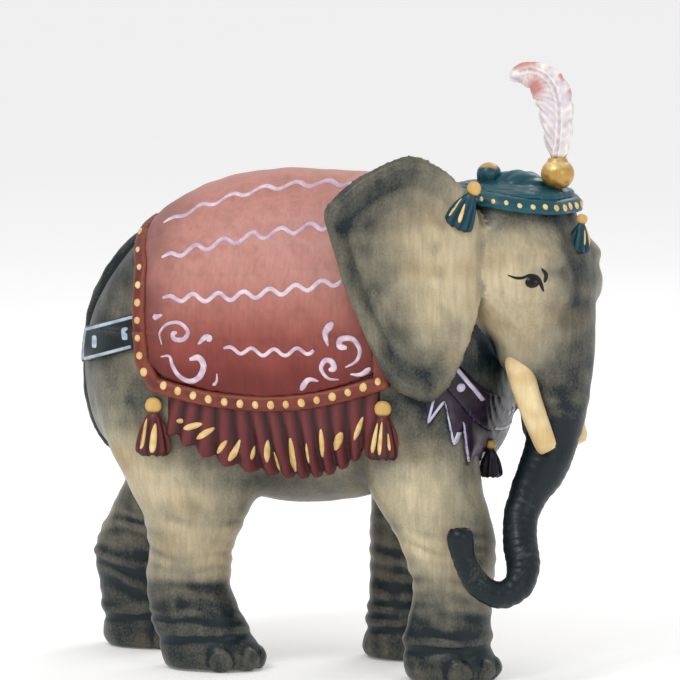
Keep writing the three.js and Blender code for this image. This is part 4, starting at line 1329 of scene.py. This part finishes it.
def gold_bead(material):
    x, y = from_head(BEAD["forward"], 0)

    def shape(a, b, c):
        radius = BEAD["radius"]
        bead = ball(a, b, c, (x, y, BEAD["height"]), (radius, radius, radius * 0.94))
        rim = np.sqrt((a - x) ** 2 + (b - y) ** 2)
        lip = np.sqrt((rim - 2.5) ** 2 + (c - BEAD["height"] - 4.7) ** 2) - 0.6
        return blend(bead, lip, 0.8)

    return field_piece("gold_bead", (x - 7, y - 7, 157), (x + 7, y + 7, 170), shape, gilt_colours,
                       material, "gold_paint", step=0.4)


PLUME_FOOT = 168.0
PLUME_QUILL = [(0, -1), (1.3, 6), (1.7, 14), (0.9, 21), (-2.6, 26.6), (-8.5, 29), (-13.5, 28)]
PLUME_EDGE = [
    (1.4, -0.6), (3.8, 3), (4.9, 8), (5.5, 14), (5.1, 20), (3, 25.6), (-1.6, 29.8), (-8, 31.4), (-14, 30.8),
    (-17.4, 28.2), (-17.2, 25.2), (-13, 24), (-9.8, 21.4), (-7.4, 17), (-6, 12), (-4.4, 6), (-1.8, -0.6),
]


def plume(material):
    quill = spline(PLUME_QUILL, 8)
    edge = spline(PLUME_EDGE, 4)

    def feather(forward, height):
        """Distance to the outline and to the quill, the lobes' phase, the side, and the way up the quill."""
        flat = polygon_distance(edge, forward, height)
        best = np.full(np.broadcast(forward, height).shape, 1e9)
        run = np.zeros_like(best)
        turn = np.zeros_like(best)
        for i, (a, b) in enumerate(zip(quill[:-1], quill[1:])):
            ex, ez = b - a
            t = np.clip(((forward - a[0]) * ex + (height - a[1]) * ez) / (ex * ex + ez * ez), 0, 1)
            gap = (forward - a[0] - t * ex) ** 2 + (height - a[1] - t * ez) ** 2
            side = np.sign((forward - a[0]) * ez - (height - a[1]) * ex)
            run = np.where(gap < best, i + t, run)
            turn = np.where(gap < best, side, turn)
            best = np.minimum(best, gap)
        away = np.sqrt(best)
        return flat, away, run * 0.17 - away * 0.11, turn, run

    def shape(x, y, z):
        forward, left = in_head(x, y)
        forward, height = forward - BEAD["forward"], z - PLUME_FOOT
        flat, away, phase, turn, run = feather(forward, height)
        lobes = np.abs(np.sin(math.pi * (phase * 0.85 + 0.18 * (turn > 0))))
        barbs = 0.13 * np.sin(run * 2.1 - away * 2.3)
        cut = 1.15 * (1 - lobes) ** 2 * ramp(away, 1.5, 4.5)
        thick = 0.8 + 1.25 * ramp(-flat, 0, 2.6) + 0.35 * lobes - 0.5 * np.exp(-(away / 0.45) ** 2) + barbs
        thick = thick + 0.55 * np.exp(-((away - 0.9) / 0.5) ** 2)
        curl = 1.0 * ramp(-forward, 4, 15)
        return np.maximum(flat + cut, np.abs(left - curl) - thick) * 0.8

    def colours(points, normals, cavity):
        x, y, z = points.T
        forward, height = in_head(x, y)[0] - BEAD["forward"], z - PLUME_FOOT
        flat, _, phase, _, _ = feather(forward, height)
        drift = wobble(x, y, z, 6)
        tip = ramp(-forward, 5, 9) * ramp(height + 0.2 * forward, 24.6, 26.4)
        tip = tip * ramp(flat + 0.5 * drift, -3.2, -0.8)
        inner = puff(forward, height, (-7.2, 23.4), (3.2, 3.4))
        lobes = ramp(flat, -1.5, -0.1) * ramp(height, 19, 24) * ramp(forward, -5, 0)
        pink = np.clip(tip + 1.2 * inner + lobes * ramp(-np.cos(phase * 6.2), -0.3, 0.6), 0, 1)
        # the lilac grey lies at random and in the hollows, the tan in the hollows near the foot; in the hollows
        # both are painted shade
        return coats(
            points, 0xEFE8E4, (0xC9BECB, np.clip(0.35 + 0.4 * drift + 2.2 * cavity, 0, 0.75)),
            (0xB89A7A, np.clip(1.8 * cavity - 0.1, 0, 0.6) * ramp(-height, -18, -4)), (0xC4726A, 0.85 * pink),
            (0xB08A4A, 0.85 * ramp(-height, -2.4, -0.8)),
        )

    x, y = from_head(BEAD["forward"] - 6, 0)
    return field_piece("plume", (x - 14, y - 6.5, 166), (x + 14, y + 6.5, 201), shape, colours, material,
                       "plume_paint", step=0.34, rounds=2)


# ---- paint laid on the carving ----


class Canvas:
    """A painted surface reached by straight lines, with flat places in millimetres across it."""

    def __init__(self, pieces):
        points, faces = [], []
        for piece in pieces:
            start = len(points)
            points += [tuple(np.array(v.co) / MM - SHIFT) for v in piece.data.vertices]
            faces += [tuple(start + i for i in face.vertices) for face in piece.data.polygons]
        self.tree = BVHTree.FromPolygons(points, faces)

    def hit(self, origin, direction):
        spot, normal, _, _ = self.tree.ray_cast(Vector(origin), Vector(direction))
        if spot is None:
            return None
        normal = np.array(normal)
        if np.dot(normal, direction) > 0:
            normal = -normal
        return np.array(spot), normal

    def side(self, side):
        return lambda across, up: self.hit((across, side * 90, up), (0, -side, 0))

    def front(self):
        return lambda across, up: self.hit((130, across, up), (-1, 0, 0))

    def head_side(self, side):
        def touch(forward, up):
            direction = np.subtract(from_head(0, 0), from_head(0, side))
            return self.hit((*from_head(forward, side * 70), up), (*direction, 0))
        return touch

    def round_head(self, radius=24.0, middle=16.0):
        def touch(around, up):
            angle = around / radius
            away = np.array((math.cos(angle), math.sin(angle)))
            start = from_head(middle + 70 * away[0], 70 * away[1])
            end = from_head(middle, 0)
            direction = np.subtract(end, start)
            back = CAP_RIM["front"] - middle - radius * away[0]
            height = CAP_RIM["height"] + CAP_RIM["slope"] * back + up
            return self.hit((*start, height), (*(direction / np.linalg.norm(direction)), 0))
        return touch


JUMP = 4.0                             # a brush stroke ends where the surface falls away by more than this


class Strokes:
    """Closed ribbons and dots of thick paint, gathered into one piece."""

    def __init__(self):
        self.points, self.faces = [], []

    def ribbon(self, touch, path, width, rise=0.32, start=0.35, end=0.35, per_span=5):
        """A stroke along the path; start and end say how pointed it is there, 0 being blunt."""
        line = spline(path, per_span) if len(path) > 2 else np.linspace(path[0], path[1], 12)
        share = np.linspace(0, 1, len(line))
        taper = np.minimum(1, (share + 0.03) / (start + 0.01)) * np.minimum(1, (1.03 - share) / (end + 0.01))
        along = np.gradient(line, axis=0)
        normal = np.stack([-along[:, 1], along[:, 0]], 1) / np.linalg.norm(along, axis=1)[:, None]
        rings = []
        for spot, across, narrow in zip(line, normal, taper):
            half = max(width / 2 * math.sqrt(max(narrow, 0.02)), 0.12)
            row = []
            for offset in (-1, -0.6, 0, 0.6, 1):
                found = touch(*(spot + across * offset * half))
                if found is None or (rings and np.abs(found[0] - rings[-1][3]).max() > JUMP):
                    break
                height = 0.04 + rise * (1 - offset * offset) * min(1, half / 0.5)
                row.append(found[0] + found[1] * height)
                if abs(offset) == 1:
                    row.append(found[0] - found[1] * 0.35)
            if len(row) == 7:
                rings.append([row[i] for i in (0, 2, 3, 4, 5, 6, 1)])
            elif rings:
                break
        if len(rings) > 2:
            self.add(rings, np.mean(rings[0], 0), np.mean(rings[-1], 0))

    def dot(self, touch, across, up, half_wide, half_tall=None, rise=0.5, power=2.0, turn=0.0):
        half_tall = half_tall or half_wide
        middle = touch(across, up)
        if middle is None:
            return
        rings = []
        for share, height in ((0.35, 0.92), (0.7, 0.66), (0.92, 0.3), (1.0, 0.0), (0.97, -0.9)):
            ring = []
            for angle in np.linspace(0, 2 * math.pi, 18, endpoint=False):
                u = math.copysign(abs(math.cos(angle)) ** (2 / power), math.cos(angle)) * half_wide * share
                v = math.copysign(abs(math.sin(angle)) ** (2 / power), math.sin(angle)) * half_tall * share
                u, v = turned(u, v, -turn)
                found = touch(across + u, up + v) or middle
                ring.append(found[0] + found[1] * (height * rise))
            rings.append(ring)
        self.add(rings, middle[0] + middle[1] * rise, np.mean(rings[-1], 0))

    def add(self, rings, tip_start, tip_end):
        points, faces = rings_mesh(rings, tip_start, tip_end)
        start = len(self.points)
        self.points += points.tolist()
        self.faces += [tuple(start + i for i in face) for face in faces]

    def piece(self, name, colours, material, slot):
        points = np.array(self.points)
        drift = wobble(*points.T, 6)
        colour = coats(points, colours[0], (colours[1], 0.5 + 0.6 * drift))
        return finish_piece(name, (points, self.faces), colour, material, slot)


# brush colours: the stroke's own and what it drifts to
LILAC = (0xE2D3DE, 0xBFA3B8)
CREAM = (0xEBCF95, 0xD9B06A)
BLUE_WHITE = (0xB9C9D6, 0x8FA6B8)
SILVER = (0xCBC7D6, 0xA9A5C0)
INK = (0x020203, 0x060609)


def wavy(start, end, bulge, waves, high):
    """A wavy brush line, in X and Z."""
    t = np.linspace(0, 1, waves * 6 + 1)
    x = start[0] + t * (end[0] - start[0])
    z = start[1] + t * (end[1] - start[1]) + bulge * np.sin(math.pi * t)
    return np.stack([x, z + high * np.sin(2 * math.pi * waves * t) * np.minimum(1, 5 * t + 0.3)], 1)


# lines across the blanket: start, end, bulge, waves, height of a wave, width
WAVY_LINES = [
    ((-54, 145.5), (8, 159.5), 4.2, 6, 0.8, 1.1),
    ((-51.5, 135), (5.7, 147), 1.2, 6, 1.25, 1.35),
    ((-49.5, 122.3), (11.6, 129.8), -1.6, 7, 1.25, 1.45),
    ((-27.5, 106.9), (3.2, 107.3), -1.0, 4, 1.1, 1.25),
]

# brush curls: points from the thin tail to the full head, and the greatest width
CURLS = [
    ([(-49.1, 107.3), (-49.7, 111.2), (-47.2, 114), (-43.1, 114.6), (-40, 112), (-41.3, 109.4),
      (-44.4, 109.2), (-45, 110.9), (-43.6, 111.5)], 1.6),
    ([(-49.2, 103.4), (-46.3, 103.6), (-45, 100.7), (-42.6, 97.4), (-38.9, 95.8), (-35.7, 97.4), (-34.4, 101),
      (-36.1, 103.5), (-39.2, 102.9)], 2.0),
    ([(13.3, 101.9), (16.8, 104), (18, 107.7), (15.7, 111.1), (12, 111), (11.6, 108.8), (13.9, 108.2)], 2.0),
    ([(11.3, 97.9), (7.6, 98.3), (5.5, 101.3), (6.8, 104), (9, 103.7), (9.6, 101.6), (8, 100.9)], 1.9),
]

# single leaf strokes: from the tip to the full end, and the width there
LEAVES = [
    ([(-49.2, 116.9), (-51, 116.2), (-52.6, 115.9)], 2.2),
    ([(-36.4, 107.9), (-33.8, 110.2), (-31.6, 109.4)], 2.6),
    ([(-29.9, 98.6), (-30.1, 96), (-31.4, 94.6)], 1.2),
    ([(7.9, 108.7), (6.9, 112.8), (9.3, 116.4)], 2.6),
    ([(14.8, 99.7), (18.2, 99.7), (21.3, 101.8)], 1.9),
    ([(4.6, 97.3), (1.2, 97.6), (-1.2, 94.2)], 2.1),
]

# cream dabs on the fringe: lower end, upper end, width
FRINGE_DABS = [
    ((-41.3, 80.3), (-35.2, 82), 2.0), ((-37.2, 77), (-31.4, 80.7), 2.0), ((-30.4, 72.4), (-27.2, 76.7), 1.8),
    ((-26.6, 70), (-22.9, 77), 1.9), ((-19.9, 70.4), (-18.9, 74.8), 1.0), ((-15, 69.6), (-14.2, 77), 1.6),
    ((-11.9, 66.4), (-12.7, 73), 1.0), ((-6.6, 66.4), (-6.2, 78), 2.6), ((-1.2, 69.6), (-1, 76.4), 1.1),
    ((3.9, 72), (4.3, 81.4), 1.9), ((8, 74.4), (10.8, 80.4), 2.6), ((15, 78), (17.9, 85.6), 1.6),
]

TASSEL_DABS = [
    ((-54.9, 73.6), (-53.5, 83.2), 1.8), ((-50.9, 72.6), (-50.4, 81.8), 2.2),
    ((22.8, 74.8), (24, 84.2), 1.5), ((25.2, 74.2), (25.5, 84.6), 1.6), ((28.4, 75.6), (27.6, 81), 1.0),
]


def even_dots(path, spacing):
    """Places at about that spacing along a path."""
    line = np.array(path, float)
    run = np.concatenate([[0], np.cumsum(np.linalg.norm(np.diff(line, axis=0), axis=1))])
    count = max(2, round(run[-1] / spacing) + 1)
    at = np.linspace(0, run[-1], count)
    return np.stack([np.interp(at, run, line[:, 0]), np.interp(at, run, line[:, 1])], 1)


def blanket_brushwork(canvas, material):
    strokes = Strokes()
    for side in (RIGHT, LEFT):
        touch = canvas.side(side)
        for start, end, bulge, waves, high, width in WAVY_LINES:
            line = wavy(start, end, bulge, waves, high)
            strokes.ribbon(touch, line, width, per_span=2, start=0.08, end=0.04)
        for path, width in CURLS:
            strokes.ribbon(touch, path, width, start=0.7, end=0.12, per_span=7)
        for path, width in LEAVES:
            strokes.ribbon(touch, path, width, start=0.9, end=0.22, per_span=7)
    return strokes.piece("blanket_scrollwork", LILAC, material, "cloth_paint")


def cream_dots(canvas, tassels, material):
    """The dots on the blanket's border and the dabs on fringe and tassels."""
    strokes = Strokes()
    inset = BORDER_WIDTH / 2
    rear = [(x + inset, z) for x, z in REAR_EDGE if z < 160] + [(HEM_START[0] - 1.4, HEM_START[1] + 6)]
    hem = curve_points((HEM_START[0] + 5.5, HEM_START[1] - 0.6 + inset), (HEM_SAG[0], HEM_SAG[1] + inset),
                       (HEM_END[0] - inset - 0.8, HEM_END[1] + inset - 0.4))
    for side in (RIGHT, LEFT):
        touch = canvas.side(side)
        for i, (x, z) in enumerate(even_dots(rear, 5.5)):
            size = 0.9 + 0.5 * i / 10 + 0.12 * math.sin(5 * i)
            strokes.dot(touch, x, z, size * 0.95, size * 1.05, rise=0.7)
        for i, (x, z) in enumerate(even_dots(hem, 5.4)):
            size = 1.15 + 0.18 * math.sin(3.1 * i)
            strokes.dot(touch, x, z, size, size * 1.2, rise=0.7, turn=0.2 * math.sin(2.3 * i))
        strokes.dot(touch, -42.8, 82.6, 1.1, 0.8, rise=0.5)
        for low, high, width in FRINGE_DABS:
            strokes.ribbon(touch, [low, high], width, rise=0.4, start=0.3, end=0.4)
        for low, high, width in TASSEL_DABS:
            strokes.ribbon(tassels.side(side), [low, high], width, rise=0.35, start=0.15, end=0.6)
    return strokes.piece("cream_dots", CREAM, material, "gold_paint")


def strap_lines(canvas, material):
    strokes = Strokes()
    slope = (STRAP[0][1] - STRAP[1][1]) / (STRAP[0][0] - STRAP[1][0])

    def line(corner, shift, x):
        """Height of a line beside the edge that runs through a corner of the strap."""
        return STRAP[corner][1] + slope * (x - STRAP[corner][0]) + shift

    lines = ((0, -1.0), (3, 1.0))
    for side in (RIGHT, LEFT):
        touch = canvas.side(side)
        for corner, shift in lines:
            path = [(x, line(corner, shift, x)) for x in (-60.5, -66, -72, -78, -81.6)]
            strokes.ribbon(touch, path, 1.05, start=0.02, end=0.02)
        ends = [(x, line(corner, shift, x)) for x, (corner, shift) in zip((-81.8, -82.1), lines)]
        strokes.ribbon(touch, ends, 0.9, start=0.02, end=0.02)
        for x in (-76.3, -63.2):
            middle = (line(*lines[0], x) + line(*lines[1], x)) / 2
            strokes.dot(touch, x, middle, 1.2, 2.0, rise=0.4, power=5, turn=0.1)
    return strokes.piece("strap_lines", BLUE_WHITE, material, "strap_paint")


def collar_lines(canvas, material):
    strokes = Strokes()
    upper = [(37.5, 111.4), (46, 103.8), (51.5, 96.4), (54.6, 91)]
    lower = [(33, 106.8), (43, 100.2), (49.6, 91.4), (53.4, 84.4)]
    zigzag = [(43, 98), (40.4, 84.6), (44.8, 91.4), (48.4, 77.6), (50.2, 84.6), (52.4, 72)]
    for side in (RIGHT, LEFT):
        touch = canvas.side(side)
        for line in (upper, lower):
            strokes.ribbon(touch, line, 1.1, start=0.05, end=0.02)
        for ends in zip(zigzag[:-1], zigzag[1:]):
            strokes.ribbon(touch, ends, 0.8, start=0.1, end=0.1, rise=0.28)
        strokes.dot(touch, 41, 104.6, 1.3, 1.7, rise=0.4)
        strokes.dot(touch, 49.3, 95.6, 1.1, 1.4, rise=0.4)
    front = canvas.front()
    for height in (88.2, 80):
        sag = ((-9, 1), (-4.5, 0.2), (0, 0), (4.5, 0.2), (9, 1))
        line = [(across, height + lift) for across, lift in sag]
        strokes.ribbon(front, line, 1.1, start=0.02, end=0.02)
    for across in (-8, -2.7, 2.7, 8):
        strokes.dot(front, across, 84.6 + 0.01 * across * across, 1.5, 0.9, rise=0.4)
    return strokes.piece("collar_lines", SILVER, material, "collar_paint")


# places round the eye's middle, forward and up
EYE_LINE = [(-7.2, 1.7), (-4.8, 0.9), (-2.6, 0.9), (-0.7, 1.7), (1.2, 1.2), (2.6, -1.0), (3.5, -3.4)]
BROW_LINE = [(2.4, 3.9), (3.4, 1.8), (3.5, -0.6)]


def eyes(canvas, material):
    """Painted lids, pupils and brow strokes, the lid line having a long tail to the rear."""
    strokes = Strokes()
    for side in (RIGHT, LEFT):
        touch = canvas.head_side(side)
        for line, width, start, end in ((EYE_LINE, 0.95, 0.25, 0.15), (BROW_LINE, 0.9, 0.3, 0.2)):
            path = [(EYE["forward"] + a, EYE["height"] + b) for a, b in line]
            strokes.ribbon(touch, path, width, rise=0.2, start=start, end=end, per_span=6)
        strokes.dot(touch, EYE["forward"] + 0.3, EYE["height"] - 0.4, 2.1, 1.9, rise=0.6)
    return strokes.piece("eye_brushwork", INK, material, "hide_paint")


def cap_brushwork(canvas, material):
    strokes = Strokes()
    touch = canvas.round_head()
    for i, around in enumerate(np.arange(-44, 44.1, 4.4)):
        size = 0.75 + 0.5 * math.exp(-(around / 15) ** 2)
        up = CAP_RIM["width"] * 0.55 + 0.2 * math.sin(2 * i)
        strokes.dot(touch, around, up, size, size * 0.95, rise=0.5)
    return strokes.piece("cap_dots", CREAM, material, "cap_paint")


def tassel_brushwork(canvas, material):
    strokes = Strokes()
    middle = from_head(43, 0)[1]
    for aside, low, high, width in ((-1, 141.2, 146, 0.9), (0, 140.4, 147, 1.3), (1, 141.2, 146, 0.9)):
        ends = [(middle + 2.1 * aside, low), (middle + aside, high)]
        strokes.ribbon(canvas.front(), ends, width, rise=0.3, start=0.2, end=0.6)
    for side in (RIGHT, LEFT):
        touch = canvas.head_side(side)
        for low, high, width in (((11, 151.4), (14.6, 157), 1.1), ((14.8, 149.4), (16.4, 155.4), 1.1)):
            strokes.ribbon(touch, [low, high], width, rise=0.3, start=0.2, end=0.5)
    return strokes.piece("tassel_brushwork", CREAM, material, "cap_paint")


def dress_dowels():
    """Gives the CAD's own dowels and pin, which stay inside, their wood."""
    beech = raw_wood("beech")
    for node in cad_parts:
        if node.startswith(("dowel", "pin")):
            piece = bpy.data.objects[node]
            piece.data.materials.clear()
            piece.data.materials.append(beech)


# ---- the whole figure ----


def build_figure():
    hide = painted("hide_paint", grain=0.7, speckle=0.7, roughness=0.4, bump=0.3, with_spray_and_shade=True)
    cloth = painted("cloth_paint", grain=0.5, speckle=0.5, roughness=0.46, bump=0.25)
    dark = painted("harness_paint", grain=0.4, speckle=0.2, roughness=0.34, bump=0.2)
    teal = painted("cap_paint", grain=0.4, speckle=0.2, roughness=0.36, bump=0.2)
    gilt = painted("gilt", grain=0.4, speckle=0.4, roughness=0.36, bump=0.25, metal=0.45)
    thick = painted("brushed_paint", grain=0.35, speckle=0.1, roughness=0.42, bump=0.3)
    ink = painted("eye_paint", grain=0.1, speckle=0.0, roughness=0.3, bump=0.05)
    ivory = painted("tusk_paint", grain=0.45, speckle=0.25, roughness=0.33, bump=0.2)
    feather = painted("plume_paint", grain=0.3, speckle=0.2, roughness=0.55, bump=0.3)

    wood, body, head = sculpt()
    pieces = wood_pieces(wood, hide)
    dress = [
        saddle_blanket(body, cloth), blanket_border(body, cloth),
        fringe(body, RIGHT, "fringe_right", cloth), fringe(body, LEFT, "fringe_left", cloth),
        harness_piece(body, "crupper_strap", STRAP, 1.7, (-98, -40, 90), (-48, 40, 122), STRAP_COLOURS,
                      dark, "strap_paint"),
        harness_piece(body, "breast_collar", COLLAR, 1.7, (26, -42, 66), (68, 42, 118), COLLAR_COLOURS,
                      dark, "collar_paint"),
        harness_piece(body, "collar_pendants", PENDANTS, 1.5, (26, -42, 56), (68, 42, 110), COLLAR_COLOURS,
                      dark, "collar_paint"),
    ]
    tusk(RIGHT, "tusk_right", ivory)
    tusk(LEFT, "tusk_left", ivory)
    maroon = (0x5E2222, 0x240B0C)
    teals = (TEAL, TEAL_DEEP)
    gold = 0xD2AA62
    corner = []
    for name, side, x, z in (
        ("tassel_rear_right", RIGHT, -51.8, 87.4), ("tassel_rear_left", LEFT, -51.8, 87.4),
        ("tassel_front_right", RIGHT, 25.2, 88.6), ("tassel_front_left", LEFT, 25.2, 88.6),
    ):
        box_low, box_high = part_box(name)
        y = (box_low.y + box_high.y) / 2 / MM - SHIFT[1]
        corner.append(tassel(name, (x, y, z), 1.0, 0.7, 0, maroon, gold, cloth, "tassel_paint"))
    tassel("collar_tassel", (54, -8, 75.5), 0.66, 0.9, 0, (0x241D2E, 0x0D0B12), gold, dark, "collar_paint")
    hanging = []
    for name, forward, left, height, scale, flat, lean in (
        ("forehead_tassel", 43.2, 0, 149.4, 0.66, 0.9, 8),
        ("side_tassel_right", 18.5, RIGHT * 27.5, 160.2, 0.86, 0.7, 26),
        ("side_tassel_left", 18.5, LEFT * 27.5, 160.2, 0.86, 0.7, 26),
    ):
        top = (*from_head(forward, left), height)
        hanging.append(tassel(name, top, scale, flat, lean, teals, gold, teal, "cap_paint", heading=HEAD_YAW))

    rim = cap_rim(head, teal)
    cap = head_cap(head, teal)
    cap_crest(teal)
    cap_knob(teal)
    gold_bead(gilt)
    plume(feather)

    canvas = Canvas(dress + [pieces["torso"]])
    blanket_brushwork(canvas, thick)
    cream_dots(canvas, Canvas(corner), thick)
    strap_lines(canvas, thick)
    collar_lines(canvas, thick)
    eyes(Canvas([pieces["head"]]), ink)
    cap_brushwork(Canvas([rim, cap]), thick)
    tassel_brushwork(Canvas(hanging), thick)
    dress_dowels()


# ---- floor, light and camera ----


def plain(name, colour, roughness, glow):
    material, graph, shader = new_material(name, Roughness=roughness)
    mottle = graph.add("ShaderNodeTexNoise", {"Scale": 30}, "Fac")
    tones = graph.spread(mottle, 0, 1, colour * 0.985, colour)
    graph.fill(shader, {"Base Color": tones, "Emission Color": (1, 1, 1, 1), "Emission Strength": glow})
    return material


FLOOR_HALF = 4.0


def make_floor():
    mesh = bpy.data.meshes.new("floor")
    corners = [(x * FLOOR_HALF, y * FLOOR_HALF, 0) for x, y in ((-1, -1), (1, -1), (1, 1), (-1, 1))]
    mesh.from_pydata(corners, [], [(0, 1, 2, 3)])
    floor = bpy.data.objects.new("floor", mesh)
    bpy.context.scene.collection.objects.link(floor)
    mesh.materials.append(plain("floor", 0.98, 0.7, glow=0.16))


def area_light(name, place, target, size, power):
    light = bpy.data.lights.new(name, "AREA")
    light.shape = "DISK"
    light.size = size
    light.energy = power
    lamp = bpy.data.objects.new(name, light)
    lamp.location = place
    lamp.rotation_euler = (Vector(target) - Vector(place)).to_track_quat("-Z", "Y").to_euler()
    bpy.context.scene.collection.objects.link(lamp)


AMBIENT = 0.72                         # light from all round; the backdrop itself is white


def make_light():
    world = bpy.data.worlds.new("studio")
    graph = Graph(world)
    strength = graph.spread(graph.add("ShaderNodeLightPath", {}, "Is Camera Ray"), 0, 1, AMBIENT, 1)
    graph.fill(world.node_tree.nodes["Background"], {"Color": (1, 1, 1, 1), "Strength": strength})
    bpy.context.scene.world = world
    bpy.context.scene.view_settings.view_transform = "Standard"
    middle = (0, 0, 0.1)
    area_light("key", (-0.35, -0.9, 1.15), middle, 0.45, 6)
    area_light("fill", (0.9, -0.7, 0.5), middle, 0.5, 1.4)
    area_light("rim", (0.2, 0.9, 0.9), middle, 0.5, 3)


VIEW_AZIMUTH = math.radians(18)
VIEW_HEIGHT = math.radians(6)
VIEW_DISTANCE = 2.2
VIEW_WIDTH = 0.2222                  # width of the picture at the figure
SENSOR = 36.0


def make_camera():
    target = Vector(((np.array((0, 0, 106.8)) + SHIFT) * MM).tolist())
    back = Vector((
        math.sin(VIEW_AZIMUTH) * math.cos(VIEW_HEIGHT),
        -math.cos(VIEW_AZIMUTH) * math.cos(VIEW_HEIGHT),
        math.sin(VIEW_HEIGHT),
    ))
    data = bpy.data.cameras.new("camera")
    data.sensor_width = SENSOR
    data.lens = SENSOR * VIEW_DISTANCE / VIEW_WIDTH
    camera = bpy.data.objects.new("camera", data)
    camera.location = target + back * VIEW_DISTANCE
    camera.rotation_euler = (-back).to_track_quat("-Z", "Y").to_euler()
    bpy.context.scene.collection.objects.link(camera)
    bpy.context.scene.camera = camera


make_camera()
make_light()
make_floor()
build_figure()
